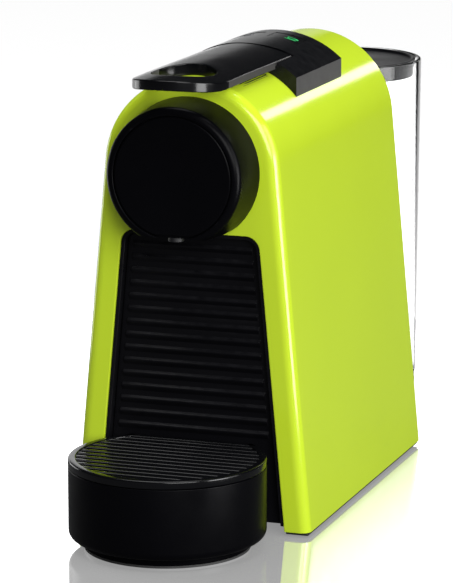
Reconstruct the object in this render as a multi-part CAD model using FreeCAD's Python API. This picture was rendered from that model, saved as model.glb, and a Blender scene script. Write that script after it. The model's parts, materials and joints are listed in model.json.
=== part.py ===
import FreeCAD, Part
import math
import os

# A small pod coffee machine. X runs across, +Y runs from the cup side to the water tank, +Z is up.
# Everything is drawn with y = 0 on the green front face, and save() moves it to the final origin,
# the middle of the underside of the whole machine. All lengths are millimetres.

os.makedirs("parts", exist_ok=True)
Vec = FreeCAD.Vector

# ---- driving dimensions -------------------------------------------------------------------------
BASE_HALF = 55.0            # half of the width at the table
FLARE_DEG = 5.3             # the side faces lean in by this much
ARCH_Z = 159.5              # height of the centre of the arched top, and of the brewing axis
BODY_DEPTH = 173.5
SHELL_WALL = 2.5
SHELL_BOTTOM_Z = 2.0
FRONT_ROUND = 4.6           # rounding of the shell's front edge
FIT = 0.1                   # gap between parts that are pushed together
RUN = 0.4                   # gap between parts that move past each other
SHAFT = 0.05                # radial clearance round a pin

RECESS_INSET = 11.3         # the front recess keeps this far inside the side faces
RECESS_TOP = 132.0
RECESS_ROUND = 6.5
FRAME_WALL = 1.8
PANEL_Y = 3.5               # face of the ribbed drawer front
RIB_DEEP = 1.2
RIB_PITCH = 5.8
RIB_LOW_Z = 43.0
RIB_TOP_Z = 126.5

DRIP_R = 42.8
DRIP_Y = -28.5
DRIP_TOP = 39.7
GRILLE_Z = 35.9
DRIP_WALL = 2.2
FOOT_R = 36.0
FOOT_Z = 4.5
DRIP_ROUND = 3.6            # rounding of the tray's lower edge
FOOT_PAD_HIGH = 1.0
FOOT_RING = 3.0             # width of the rubber ring under the tray
RIM_WIDE = 3.4
SKIRT_DEEP = 1.5
SLAT_PITCH = 5.4
SLAT_WIDTH = 2.9

DISC_BACK_R = 32.1
DISC_FRONT_R = 30.2
DISC_FRONT_Y = -22.0
DISC_CUT_Z = 133.5
DISC_CUT_RISE_DEG = 20.0
DISC_FACE_R = 26.5
SPOUT_Y = -16.5
SPOUT_R = 3.4
SPOUT_LOW_Z = 131.6

SADDLE_HALF = 30.85
SADDLE_FRONT = 54.0
SADDLE_REAR = 120.5
SADDLE_TOP = 205.5
SADDLE_SIDE_TOP = 193.6

LEVER_HALF = 21.3
LEVER_TIP = -31.8
LEVER_STRAIGHT_Y = -8.5     # the straight sides start here, and the rounded tip is ahead of it
LEVER_TIP_Z = 201.6
LEVER_TIP_DROP = 1.35       # how much the strap dips at its tip
TIP_CROWN = 0.3
LEVER_THICK = 2.8
LEVER_GAP = 0.6             # beside the strap, in the saddle
LEVER_SIDE_REAR_Z = 200.7
LEVER_SIDE_REAR_Y = 77.0
HOLE_HALF_X = 12.8
HOLE_HALF_Y = 18.5
HOLE_Y = -4.0
HINGE_Y = 66.0
HINGE_Z = 194.5
HINGE_PIN_R = 1.5
CHEEK_R = 3.0               # hinge cheeks, which stay under the strap

CAGE_R = 20.0
CAGE_FRONT = 16.0
LINK = 24.0                 # length of each toggle link, pin to pin
LINK_EYE_R = 4.0
PULL_EYE_R = 3.0
PULL_SLOT = 7.0             # lost motion at the lower end of the pull links
LINK_THICK = 2.5
CRANK = 9.0                 # lever axis to the eye of the pull links
REAR_PIVOT_Y = 104.0

SLOT_HALF = 19.4            # the capsule slot in the top of the shell
SLOT_FRONT = 16.0
SLOT_REAR = 50.0

TANK_Y = 212.8
TANK_TOP_R = 41.0
TANK_LOW_R = 39.5
TANK_FLAT_Y = 176.0
TANK_TOP = 180.7
TANK_LOW = 24.0
TANK_WALL = 2.4

BUTTON_X = 9.5
BUTTON_Y = 105.0
BUTTON_HALF_X = 7.0
BUTTON_HALF_Y = 6.5
BOARD_Z = 190.0

GLAND_X = -42.5
GLAND_Z = 16.0
GLAND_NECK_R = 4.9
COVER_STEP = 0.6            # how far the rear cover sits inside the shell's rear edge
FLOOR_LOW = 1.0             # the casing's floor, on rubber pads
FLOOR_HIGH = 4.0
FOOT_PAD_X = 44.0
FOOT_PAD_R = 6.0

BIN_HALF = 30.0
BIN_REAR = 92.0
BIN_TOP = 116.0

# brewing unit
RAIL_IN, RAIL_OUT = 24.0, 26.5      # inner and outer faces of the side rails
CHEEK_IN, CHEEK_OUT = 17.9, 20.5    # faces of the cheeks that hold the lever's hinge pin
GUIDE_HALF = 4.0            # half height of the cage's guide tongues
FRONT_LINK_X = 5.0          # the links lie side by side on their pins, from here outward
REAR_LINK_X = 8.0
REAR_LUG_X = 11.0
CRANK_ARM_X = 14.0
SEAL_IN_R, SEAL_OUT_R = 16.3, 18.3
SEAL_DEEP = 2.0
EXTRACT_Y = 4.6             # front of the extraction plate
DUCT_R = 3.2
DUCT_BORE_R = 1.8
SPOUT_HIGH_Z = 142.0
DUCT_START = (0, SPOUT_Y, 139.5)
DUCT_END = (0, EXTRACT_Y, 143.5)

# water path
PUMP_X, PUMP_Y = -22.0, 142.0
PUMP_LOW, PUMP_HIGH = 16.0, 100.0
PUMP_R = 15.0
MOUNT_R = 18.0
HOSE_X = 18.0
HOSE_Z = 13.0
METER_END_Y = 156.0
INLET_X, INLET_Y = -10.0, 138.0     # the heater's cold inlet
OUTLET_Z = 136.0            # the heater's hot outlet

ACROSS = (-60.0, 60.0)      # wider than the machine, for cutting blocks

# ---- worked out from the driving dimensions -------------------------------------------------------
TILT = math.radians(FLARE_DEG)
ARCH_R = (BASE_HALF - ARCH_Z * math.tan(TILT)) * math.cos(TILT)
OVERALL_FRONT = DRIP_Y - DRIP_R
OVERALL_REAR = TANK_Y + TANK_TOP_R
ORIGIN_Y = (OVERALL_FRONT + OVERALL_REAR) / 2
LEVER_TAIL_R = math.hypot(LEVER_SIDE_REAR_Y - HINGE_Y, LEVER_SIDE_REAR_Z - HINGE_Z)
KNEE_Y = REAR_PIVOT_Y - LINK
CAGE_PIN_Y = KNEE_Y - LINK
CRANK_EYE = (HINGE_Y, HINGE_Z - CRANK)
DROP = SADDLE_TOP - SADDLE_SIDE_TOP
SADDLE_R = (SADDLE_HALF ** 2 + DROP ** 2) / (2 * DROP)


# ---- helpers --------------------------------------------------------------------------------------
def save(node, shape):
    """Move a finished piece to the machine's origin and write it as its own file."""
    placed = shape.copy()
    placed.translate(Vec(0, -ORIGIN_Y, 0))
    assert placed.isValid(), node
    placed.exportStep("parts/%s.step" % node)
    print("%-22s solids %2d  volume %9.0f" % (node, len(placed.Solids), placed.Volume))


def box(x, y, z):
    """A box from three (low, high) pairs."""
    return Part.makeBox(x[1] - x[0], y[1] - y[0], z[1] - z[0], Vec(x[0], y[0], z[0]))


def rod(start, end, radius):
    """A round bar between two points."""
    a, b = Vec(*start), Vec(*end)
    return Part.makeCylinder(radius, a.distanceToPoint(b), a, b - a)


def disc(centre_y, low, high, radius):
    """An upright cylinder on the machine's middle plane."""
    return Part.makeCylinder(radius, high - low, Vec(0, centre_y, low))


def ring(centre_y, low, high, outer, inner):
    return disc(centre_y, low, high, outer).cut(disc(centre_y, low - 1, high + 1, inner))


def both_sides(shape):
    """The shape and its mirror image across the middle plane."""
    return Part.makeCompound([shape, shape.mirror(Vec(0, 0, 0), Vec(1, 0, 0))])


def fuse(*shapes):
    whole = shapes[0]
    for shape in shapes[1:]:
        whole = whole.fuse(shape)
    return whole.removeSplitter()


def side_x(z, inset):
    """Half width of the arched outline, moved inward by inset, at a height below the arch."""
    return BASE_HALF - z * math.tan(TILT) - inset / math.cos(TILT)


def arch(inset, y_low, y_high, z_low):
    """The body's outline, flared sides under a round top, moved inward and extruded along Y."""
    radius = ARCH_R - inset
    turn_x = radius * math.cos(TILT)
    turn_z = ARCH_Z + radius * math.sin(TILT)
    low_x = side_x(z_low, inset)
    outline = [
        Part.makeLine(Vec(low_x, y_low, z_low), Vec(turn_x, y_low, turn_z)),
        Part.Arc(Vec(turn_x, y_low, turn_z), Vec(0, y_low, ARCH_Z + radius),
                 Vec(-turn_x, y_low, turn_z)).toShape(),
        Part.makeLine(Vec(-turn_x, y_low, turn_z), Vec(-low_x, y_low, z_low)),
        Part.makeLine(Vec(-low_x, y_low, z_low), Vec(low_x, y_low, z_low)),
    ]
    return Part.Face(Part.Wire(outline)).extrude(Vec(0, y_high - y_low, 0))


def gate(inset, y_low, y_high, z_low, z_high, corner):
    """A flared opening with rounded top corners, extruded along Y."""
    low_x, high_x = side_x(z_low, inset), side_x(z_high, inset)
    corners = [Vec(low_x, y_low, z_low), Vec(high_x, y_low, z_high),
               Vec(-high_x, y_low, z_high), Vec(-low_x, y_low, z_low)]
    solid = Part.Face(Part.makePolygon(corners + corners[:1])).extrude(Vec(0, y_high - y_low, 0))
    top_edges = [edge for edge in solid.Edges
                 if edge.BoundBox.ZMin > z_high - 1 and edge.BoundBox.YLength > y_high - y_low - 1]
    return solid.makeFillet(corner, top_edges)


def link_bar(start, end, x_low, eye, hole):
    """A flat bar with round ends between two (y, z) pins, with a hole at each pin of radius above 0."""
    span = Vec(0, end[0] - start[0], end[1] - start[1])
    across = Vec(0, -span.z, span.y).normalize() * eye
    a, b = Vec(x_low, *start), Vec(x_low, *end)
    rim = [a + across, b + across, b - across, a - across, a + across]
    bar = Part.Face(Part.makePolygon(rim)).extrude(Vec(LINK_THICK, 0, 0))
    for pin in (start, end):
        bar = bar.fuse(Part.makeCylinder(eye, LINK_THICK, Vec(x_low, *pin), Vec(1, 0, 0)))
    for pin in (start, end):
        bar = bar.cut(Part.makeCylinder(hole, LINK_THICK, Vec(x_low, *pin), Vec(1, 0, 0)))
    return bar.removeSplitter()


def tube(points, radius, bend):
    """A hose along straight runs that are joined by tangent arcs of one radius."""
    corners = [Vec(*point) for point in points]
    edges = []
    start = corners[0]
    for before, corner, after in zip(corners, corners[1:], corners[2:]):
        into, out = (corner - before).normalize(), (after - corner).normalize()
        turn = into.getAngle(out)
        set_back = bend * math.tan(turn / 2)
        first, last = corner - into * set_back, corner + out * set_back
        inward = (out - into).normalize()
        middle = corner + inward * (bend / math.cos(turn / 2) - bend)
        edges += [Part.makeLine(start, first), Part.Arc(first, middle, last).toShape()]
        start = last
    edges.append(Part.makeLine(start, corners[-1]))
    section = Part.Wire(Part.makeCircle(radius, corners[0], corners[1] - corners[0]))
    return Part.Wire(edges).makePipeShell([section], True, False)


# ---- casing ---------------------------------------------------------------------------------------
def saddle_block(y_low, y_high, half, lower, upper):
    """The space between two crowned surfaces above the arch: lower and upper are drops from the top."""
    centre_z = SADDLE_TOP - SADDLE_R
    block = Part.makeCylinder(SADDLE_R - upper, y_high - y_low, Vec(0, y_low, centre_z), Vec(0, 1, 0))
    if lower is not None:
        block = block.cut(Part.makeCylinder(SADDLE_R - lower, y_high - y_low,
                                            Vec(0, y_low, centre_z), Vec(0, 1, 0)))
    return block.common(box((-half, half), (y_low, y_high), (ARCH_Z, SADDLE_TOP)))


def hinge_well(half, reach):
    """The room that the lever's rounded tail needs as it swings down behind the hinge."""
    front = box((-half, half), (HINGE_Y - 7.5, HINGE_Y), (HINGE_Z - 20, SADDLE_TOP + 5))
    swing = Part.makeCylinder(reach, 2 * half, Vec(-half, HINGE_Y, HINGE_Z), Vec(1, 0, 0))
    below = box((-half, half), (HINGE_Y, HINGE_Y + reach), (HINGE_Z - 20, HINGE_Z))
    return front.fuse(swing.common(box((-half, half), (HINGE_Y, HINGE_Y + reach),
                                       (HINGE_Z, SADDLE_TOP + 5)))).fuse(below)


def outer_shell():
    body = arch(0, 0, BODY_DEPTH, SHELL_BOTTOM_Z)
    front_edges = [edge for edge in body.Edges
                   if edge.BoundBox.YMax < 0.01 and edge.BoundBox.ZMax > SHELL_BOTTOM_Z + 1]
    body = body.makeFillet(FRONT_ROUND, front_edges)
    body = body.cut(arch(SHELL_WALL, SHELL_WALL, BODY_DEPTH + 1, SHELL_BOTTOM_Z - 5))
    body = body.cut(gate(RECESS_INSET, -1, SHELL_WALL + 1, SHELL_BOTTOM_Z - 5, RECESS_TOP, RECESS_ROUND))
    body = body.cut(box((-SLOT_HALF, SLOT_HALF), (SLOT_FRONT, SLOT_REAR), (ARCH_Z, SADDLE_TOP)))
    body = body.cut(hinge_well(LEVER_HALF + LEVER_GAP, LEVER_TAIL_R + RUN))
    for x in (-BUTTON_X, BUTTON_X):
        body = body.cut(rod((x, BUTTON_Y, ARCH_Z), (x, BUTTON_Y, SADDLE_TOP), 3.0))
    # the brewing head passes its coffee outlet through the front wall
    return body.cut(rod((0, -1, ARCH_Z), (0, SHELL_WALL + 1, ARCH_Z), 24.0))


def control_saddle():
    block = saddle_block(SADDLE_FRONT, SADDLE_REAR, SADDLE_HALF, None, 0)
    block = block.cut(Part.makeCylinder(ARCH_R + FIT, 200, Vec(0, 0, ARCH_Z), Vec(0, 1, 0)))
    channel = lever_blank(LEVER_HALF + LEVER_GAP, LEVER_THICK + RUN + 10, 10)
    block = block.cut(channel.common(box((-40, 40), (SADDLE_FRONT - 1, HINGE_Y), (180, 230))))
    block = block.cut(hinge_well(LEVER_HALF + LEVER_GAP, LEVER_TAIL_R + RUN))
    for x in (-BUTTON_X, BUTTON_X):
        block = block.cut(box((x - BUTTON_HALF_X - RUN, x + BUTTON_HALF_X + RUN),
                              (BUTTON_Y - BUTTON_HALF_Y - RUN, BUTTON_Y + BUTTON_HALF_Y + RUN),
                              (ARCH_Z, SADDLE_TOP + 1)))
    return block


def base_plate():
    """The floor of the casing: a flange under the shell's lower edge and a plate inside it."""
    rear = BODY_DEPTH - 0.5
    flange_inset = 0.8
    flange = arch(flange_inset, flange_inset, rear, FLOOR_LOW)
    flange = flange.common(box(ACROSS, (0, rear), (FLOOR_LOW, SHELL_BOTTOM_Z)))
    inset = SHELL_WALL + FIT
    floor = arch(inset, inset, rear, FLOOR_LOW).common(box(ACROSS, (0, rear), (FLOOR_LOW, FLOOR_HIGH)))
    drip_bay = box((-DRIP_R - 1.2, DRIP_R + 1.2), (-1, 16), (0, FLOOR_HIGH + 2))
    vent_half = 1.2
    vents = [box((x - vent_half, x + vent_half), (110, 150), (0, FLOOR_HIGH + 2)) for x in range(-12, 37, 8)]
    return fuse(flange, floor).cut(drip_bay).cut(Part.makeCompound(vents))


def rubber_feet():
    spots = [(x, y) for x in (-FOOT_PAD_X, FOOT_PAD_X) for y in (28, BODY_DEPTH - 13.5)]
    return Part.makeCompound([Part.makeCylinder(FOOT_PAD_R, FLOOR_LOW, Vec(x, y, 0)) for x, y in spots])


def front_frame():
    """Black lining of the recess, which guides the drawer front."""
    front, rear = 1.0, 14.0
    outer = gate(RECESS_INSET + FIT, front, rear, 4.2, RECESS_TOP - FIT, RECESS_ROUND - FIT)
    inner = gate(RECESS_INSET + FRAME_WALL, front - 1, rear + 1, 0,
                 RECESS_TOP - FRAME_WALL, RECESS_ROUND - FRAME_WALL)
    return outer.cut(inner)


def rear_cover():
    plate = arch(SHELL_WALL + FIT, BODY_DEPTH - 3, BODY_DEPTH - COVER_STEP, FLOOR_HIGH + FIT)
    for x, z, radius in ((GLAND_X, GLAND_Z, GLAND_NECK_R + FIT), (HOSE_X, HOSE_Z, 4.0)):
        plate = plate.cut(rod((x, BODY_DEPTH - 10, z), (x, BODY_DEPTH + 10, z), radius))
    return plate


def rear_screws():
    """Four cross-head screws that hold the rear cover."""
    seat, top = BODY_DEPTH - COVER_STEP, BODY_DEPTH + 0.9
    reach, half = 2.2, 0.4
    screws = []
    for x, z in ((-40, 34), (40, 34), (-26, 168), (26, 168)):
        head = rod((x, seat, z), (x, top, z), 3.0)
        slot = box((x - reach, x + reach), (seat + 0.9, top + 0.1), (z - half, z + half))
        cross = box((x - half, x + half), (seat + 0.9, top + 0.1), (z - reach, z + reach))
        screws.append(head.cut(slot).cut(cross))
    return Part.makeCompound(screws)


def cord_gland():
    """The strain relief bush that the mains lead leaves through, with its bore left open."""
    def collar(low, high, radius):
        return rod((GLAND_X, BODY_DEPTH + low, GLAND_Z), (GLAND_X, BODY_DEPTH + high, GLAND_Z), radius)
    inside, outside = -3.0, -COVER_STEP
    flange, neck = collar(inside - 3, inside, 7.0), collar(inside, outside, GLAND_NECK_R)
    body = fuse(flange, neck, collar(outside, outside + 2, 6.4))
    return body.cut(collar(-10, 10, 3.5))


# ---- brewing head ---------------------------------------------------------------------------------
def under_cut():
    """Everything below the brewing head's slanted underside."""
    rise = math.tan(math.radians(DISC_CUT_RISE_DEG))
    points = [Vec(-40, -40, 100), Vec(-40, 1, 100), Vec(-40, 1, DISC_CUT_Z + 8 * rise),
              Vec(-40, -7, DISC_CUT_Z), Vec(-40, -40, DISC_CUT_Z)]
    return Part.Face(Part.makePolygon(points + points[:1])).extrude(Vec(80, 0, 0))


def brew_head_cover():
    """The round black cap of the brewing head: a hollow cone, cut flat below, with a seat for its face."""
    wall, floor_wall, front_wall = 2.2, 2.0, 4.5
    depth = -DISC_FRONT_Y
    centre, forward = Vec(0, 0, ARCH_Z), Vec(0, -1, 0)
    cone = Part.makeCone(DISC_BACK_R, DISC_FRONT_R, depth, centre, forward)
    front = [edge for edge in cone.Edges if edge.BoundBox.YMax < DISC_FRONT_Y + 0.1]
    cone = cone.makeFillet(3.0, front).cut(under_cut())
    hollow = Part.makeCone(DISC_BACK_R - wall, DISC_FRONT_R - wall, depth - front_wall, centre, forward)
    cone = cone.cut(hollow.cut(under_cut().translated(Vec(0, 0, floor_wall))))
    seat = rod((0, DISC_FRONT_Y - 1, ARCH_Z), (0, DISC_FRONT_Y + 2.0, ARCH_Z), DISC_FACE_R + FIT)
    cone = cone.cut(seat.cut(box((-40, 40), (-40, 0), (100, DISC_CUT_Z + 1.4))))
    cone = cone.cut(rod(DUCT_START, DUCT_END, DUCT_R + FIT))
    return cone.cut(rod((0, SPOUT_Y, 120), (0, SPOUT_Y, SPOUT_HIGH_Z + FIT), SPOUT_R + FIT))


def brew_head_face():
    plate = rod((0, DISC_FRONT_Y + 0.3, ARCH_Z), (0, DISC_FRONT_Y + 1.9, ARCH_Z), DISC_FACE_R)
    return plate.cut(box((-40, 40), (-40, 0), (100, DISC_CUT_Z + 1.5)))


def coffee_spout():
    """The outlet: a slanted duct from the extraction plate that ends in a short round nozzle."""
    nozzle = rod((0, SPOUT_Y, SPOUT_LOW_Z), (0, SPOUT_Y, SPOUT_HIGH_Z), SPOUT_R)
    passage = rod((0, SPOUT_Y, SPOUT_LOW_Z - 1), (0, SPOUT_Y, SPOUT_HIGH_Z - 2), SPOUT_R - 1.1)
    past_end = Vec(*DUCT_END) + (Vec(*DUCT_END) - Vec(*DUCT_START)) * 0.07
    bore = rod(DUCT_START, past_end, DUCT_BORE_R)
    square_end = box((-10, 10), (EXTRACT_Y - FIT, EXTRACT_Y + 5), (130, 150))
    whole = nozzle.fuse(rod(DUCT_START, DUCT_END, DUCT_R))
    return whole.cut(passage).cut(bore).cut(square_end).removeSplitter()


def extraction_plate():
    """The plate that the capsule's lid is pressed against: a rim, a ring of holes and a collector."""
    middle_y, rear_y = 12.0, 15.2
    plate = rod((0, EXTRACT_Y, ARCH_Z), (0, middle_y, ARCH_Z), 19.0)
    rim = rod((0, middle_y, ARCH_Z), (0, rear_y, ARCH_Z), 19.0)
    plate = plate.fuse(rim.cut(rod((0, middle_y - 1, ARCH_Z), (0, rear_y + 2, ARCH_Z), 16.0)))
    hole_circle_r = 9.0
    holes = []
    for turn in range(0, 360, 45):
        x = hole_circle_r * math.sin(math.radians(turn))
        z = ARCH_Z + hole_circle_r * math.cos(math.radians(turn))
        holes.append(rod((x, 8, z), (x, middle_y + 1, z), 0.8))
    collector = rod((0, 5.5, DUCT_END[2]), (0, 8.5, DUCT_END[2]), DUCT_BORE_R)
    return plate.cut(Part.makeCompound(holes)).cut(collector).removeSplitter()


def capsule_chute():
    """The funnel that leads a capsule from the slot in the top down to the brewing chamber."""
    wall = 1.2
    low, high = 181.0, ARCH_Z + ARCH_R - 0.3
    half, front, rear = SLOT_HALF - FIT, SLOT_FRONT + FIT, SLOT_REAR - FIT
    outer = box((-half, half), (front, rear), (low, high))
    outer = outer.common(Part.makeCylinder(ARCH_R, 60, Vec(0, 0, ARCH_Z), Vec(0, 1, 0)))
    return outer.cut(box((wall - half, half - wall), (front + wall, rear - wall), (low - 11, high + 1)))


def brew_frame():
    """The rigid chassis of the brewing unit: side rails, rear bridge, link lugs and hinge cheeks."""
    front, rear = 4.0, 112.0
    rail = box((RAIL_IN, RAIL_OUT), (front, rear), (142, 178))
    guide_half = GUIDE_HALF + 0.5
    guide = box((RAIL_IN - 1, RAIL_OUT + 1.5), (34, 90), (ARCH_Z - guide_half, ARCH_Z + guide_half))
    rail = rail.cut(guide)
    shelf = box((CHEEK_IN, RAIL_OUT), (HINGE_Y - 5.5, HINGE_Y + 5.5), (174, 178))
    cheek = box((CHEEK_IN, CHEEK_OUT), (HINGE_Y - CHEEK_R, HINGE_Y + CHEEK_R), (174, HINGE_Z))
    cheek = cheek.fuse(rod((CHEEK_IN, HINGE_Y, HINGE_Z), (CHEEK_OUT, HINGE_Y, HINGE_Z), CHEEK_R))
    cheek = cheek.cut(rod((CHEEK_IN - 1, HINGE_Y, HINGE_Z), (CHEEK_OUT + 1, HINGE_Y, HINGE_Z), HINGE_PIN_R))
    lug = box((REAR_LUG_X, REAR_LUG_X + LINK_THICK), (REAR_PIVOT_Y - LINK_EYE_R, rear - 2),
              (ARCH_Z - LINK_EYE_R, ARCH_Z + LINK_EYE_R))
    lug = lug.cut(rod((REAR_LUG_X - 1, REAR_PIVOT_Y, ARCH_Z), (REAR_LUG_X + 4, REAR_PIVOT_Y, ARCH_Z),
                      HINGE_PIN_R))
    mount = box((19.2, RAIL_IN + 0.5), (front, front + 7), (150, 169))
    half = fuse(rail.cut(guide), shelf, cheek, lug, mount)
    bridge = box((-RAIL_OUT, RAIL_OUT), (rear - 3, rear), (148, 171))
    return fuse(half, half.mirror(Vec(0, 0, 0), Vec(1, 0, 0)), bridge)


def pin(y, z, half_length):
    return rod((-half_length, y, z), (half_length, y, z), HINGE_PIN_R)


# ---- moving parts of the brewing unit ---------------------------------------------------------------
def capsule_cage():
    """The sliding cage that holds the capsule, with guide wings and lugs for the front links."""
    rear = 50.0
    guide_y, guide_z = (rear - 12, rear), (ARCH_Z - GUIDE_HALF, ARCH_Z + GUIDE_HALF)
    barrel = rod((0, CAGE_FRONT, ARCH_Z), (0, rear, ARCH_Z), CAGE_R)
    wings = box((RUN - RAIL_IN, RAIL_IN - RUN), guide_y, guide_z)
    tongue = box((RAIL_IN - 1, RAIL_OUT - 0.5), guide_y, guide_z)
    cage = fuse(barrel, wings, tongue, tongue.mirror(Vec(0, 0, 0), Vec(1, 0, 0)))
    lug_x = (REAR_LINK_X, REAR_LINK_X + LINK_THICK)
    lug = box(lug_x, (rear - 1, CAGE_PIN_Y), (ARCH_Z - LINK_EYE_R, ARCH_Z + LINK_EYE_R))
    lug = lug.fuse(rod((lug_x[0], CAGE_PIN_Y, ARCH_Z), (lug_x[1], CAGE_PIN_Y, ARCH_Z), LINK_EYE_R))
    lug = lug.cut(rod((lug_x[0] - 1, CAGE_PIN_Y, ARCH_Z), (lug_x[1] + 1, CAGE_PIN_Y, ARCH_Z), HINGE_PIN_R))
    cage = fuse(cage, lug, lug.mirror(Vec(0, 0, 0), Vec(1, 0, 0)))
    cavity = Part.makeCone(15.2, 12.0, 29, Vec(0, CAGE_FRONT - 1, ARCH_Z), Vec(0, 1, 0))
    groove = rod((0, CAGE_FRONT - 1, ARCH_Z), (0, CAGE_FRONT + SEAL_DEEP, ARCH_Z), SEAL_OUT_R + FIT)
    groove = groove.cut(rod((0, CAGE_FRONT - 2, ARCH_Z), (0, CAGE_FRONT + 3, ARCH_Z), SEAL_IN_R - FIT))
    water_inlet = rod((0, rear - 10, ARCH_Z), (0, rear + 10, ARCH_Z), 1.5)
    return cage.cut(cavity).cut(groove).cut(water_inlet)


def cage_seal():
    seal = rod((0, CAGE_FRONT + 0.2, ARCH_Z), (0, CAGE_FRONT + SEAL_DEEP, ARCH_Z), SEAL_OUT_R)
    return seal.cut(rod((0, CAGE_FRONT - 1, ARCH_Z), (0, CAGE_FRONT + 3, ARCH_Z), SEAL_IN_R))


def piercing_blades():
    """Three small spikes on the cage's floor, which open the back of the capsule."""
    floor_y, spread, length = 44.0, 6.5, 4.0
    blades = []
    for turn in (90, 210, 330):
        x = spread * math.cos(math.radians(turn))
        z = ARCH_Z + spread * math.sin(math.radians(turn))
        blades.append(Part.makeCone(1.6, 0.3, length, Vec(x, floor_y, z), Vec(0, -1, 0)))
    return Part.makeCompound(blades)


def lever_section(y, half, thick):
    """One cross-section of the strap: it rises from the tip and gets rounder towards the hinge."""
    along = max(0.0, (y - LEVER_TIP) / (LEVER_SIDE_REAR_Y - LEVER_TIP))
    slope_tip_z = LEVER_TIP_Z + LEVER_TIP_DROP
    top = slope_tip_z + (SADDLE_TOP - slope_tip_z) * along - LEVER_TIP_DROP * (1 - along) ** 6
    crown = TIP_CROWN + (SADDLE_TOP - LEVER_SIDE_REAR_Z - TIP_CROWN) * along ** 1.5
    side = top - crown * (half / LEVER_HALF) ** 2
    top_arc = Part.Arc(Vec(-half, y, side), Vec(0, y, top), Vec(half, y, side))
    low_arc = Part.Arc(Vec(half, y, side - thick), Vec(0, y, top - thick), Vec(-half, y, side - thick))
    return Part.Wire([
        top_arc.toShape(),
        Part.makeLine(Vec(half, y, side), Vec(half, y, side - thick)),
        low_arc.toShape(),
        Part.makeLine(Vec(-half, y, side - thick), Vec(-half, y, side)),
    ])


def lever_blank(half, thick, raised=0.0):
    """The whole crowned strap before it is trimmed to its outline."""
    stations = (LEVER_TIP - 1, LEVER_TIP + 10, LEVER_STRAIGHT_Y, 32.0, HINGE_Y + LEVER_TAIL_R + 2)
    sections = [lever_section(y, half, thick) for y in stations]
    return Part.makeLoft(sections, True, False).translated(Vec(0, 0, raised))


def lever_strap():
    blank = lever_blank(LEVER_HALF + 1, LEVER_THICK)
    straight = box((-LEVER_HALF, LEVER_HALF), (LEVER_STRAIGHT_Y, 100), (180, 220))
    tip = Part.Ellipse(Vec(0, LEVER_TIP, 180), Vec(LEVER_HALF, LEVER_STRAIGHT_Y, 180),
                       Vec(0, LEVER_STRAIGHT_Y, 180))
    tip_face = Part.Face(Part.Wire(tip.toShape()))
    strap = blank.common(straight.fuse(tip_face.extrude(Vec(0, 0, 40))))
    behind = box((-40, 40), (HINGE_Y, 120), (180, 220))
    tail = Part.makeCylinder(LEVER_TAIL_R, 80, Vec(-40, HINGE_Y, HINGE_Z), Vec(1, 0, 0))
    strap = strap.cut(behind.cut(tail))
    hole = Part.Ellipse(Vec(0, HOLE_Y - HOLE_HALF_Y, 180), Vec(HOLE_HALF_X, HOLE_Y, 180),
                        Vec(0, HOLE_Y, 180))
    return strap.cut(Part.Face(Part.Wire(hole.toShape())).extrude(Vec(0, 0, 40)))


def lever_crank():
    """The hinge barrel under the strap, with two short arms that pull the toggle up."""
    barrel = rod((-17.4, HINGE_Y, HINGE_Z), (17.4, HINGE_Y, HINGE_Z), 3.4)
    web = box((-17.4, 17.4), (HINGE_Y - 3.4, HINGE_Y + 3.4), (HINGE_Z, SADDLE_TOP))
    ceiling = lever_blank(LEVER_HALF + 1, LEVER_THICK + 12, 12)
    crank = barrel.fuse(web.cut(ceiling))
    arm = link_bar((HINGE_Y, HINGE_Z), CRANK_EYE, CRANK_ARM_X, PULL_EYE_R, HINGE_PIN_R)
    bore = rod((-20, HINGE_Y, HINGE_Z), (20, HINGE_Y, HINGE_Z), HINGE_PIN_R + SHAFT)
    return crank.fuse(both_sides(arm)).cut(bore).removeSplitter()


def crank_pins():
    return both_sides(rod((REAR_LUG_X, *CRANK_EYE), (CRANK_ARM_X + LINK_THICK, *CRANK_EYE), HINGE_PIN_R))


def links(start, end, x_low):
    """A left and right pair of flat links that turn on the pins at their ends."""
    return both_sides(link_bar(start, end, x_low, LINK_EYE_R, HINGE_PIN_R + SHAFT))


def pull_links():
    """The rods from the lever's crank to the knee, each with a slot at its lower end."""
    run = Vec(0, KNEE_Y - CRANK_EYE[0], ARCH_Z - CRANK_EYE[1])
    far = run.normalize() * (math.hypot(KNEE_Y - CRANK_EYE[0], ARCH_Z - CRANK_EYE[1]) + PULL_SLOT)
    end = (CRANK_EYE[0] + far.y, CRANK_EYE[1] + far.z)
    bar = link_bar(CRANK_EYE, end, REAR_LUG_X, PULL_EYE_R, HINGE_PIN_R + SHAFT)
    slot = link_bar((KNEE_Y, ARCH_Z), end, REAR_LUG_X, HINGE_PIN_R + SHAFT, 0.5)
    for point in ((KNEE_Y, ARCH_Z), end):
        round_end = rod((REAR_LUG_X, *point), (REAR_LUG_X + LINK_THICK, *point), HINGE_PIN_R + SHAFT)
        slot = slot.fuse(round_end)
    return both_sides(bar.cut(slot))


# ---- water path and electrics -----------------------------------------------------------------------
def thermoblock():
    """The cast heater that the water passes through, finned on top."""
    low, high = 124.0, 166.0
    block = box((-24, 24), (118, 158), (low, high))
    gaps = [box((-25, 25), (y, y + 2.0), (high - 6, high + 1)) for y in range(122, 156, 6)]
    block = block.cut(Part.makeCompound(gaps))
    inlet = rod((INLET_X, INLET_Y, low - 6), (INLET_X, INLET_Y, low + 0.5), 3.0)
    outlet = rod((HOSE_X, 112.5, OUTLET_Z), (HOSE_X, 118.5, OUTLET_Z), 3.0)
    return fuse(block, inlet, outlet)


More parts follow.
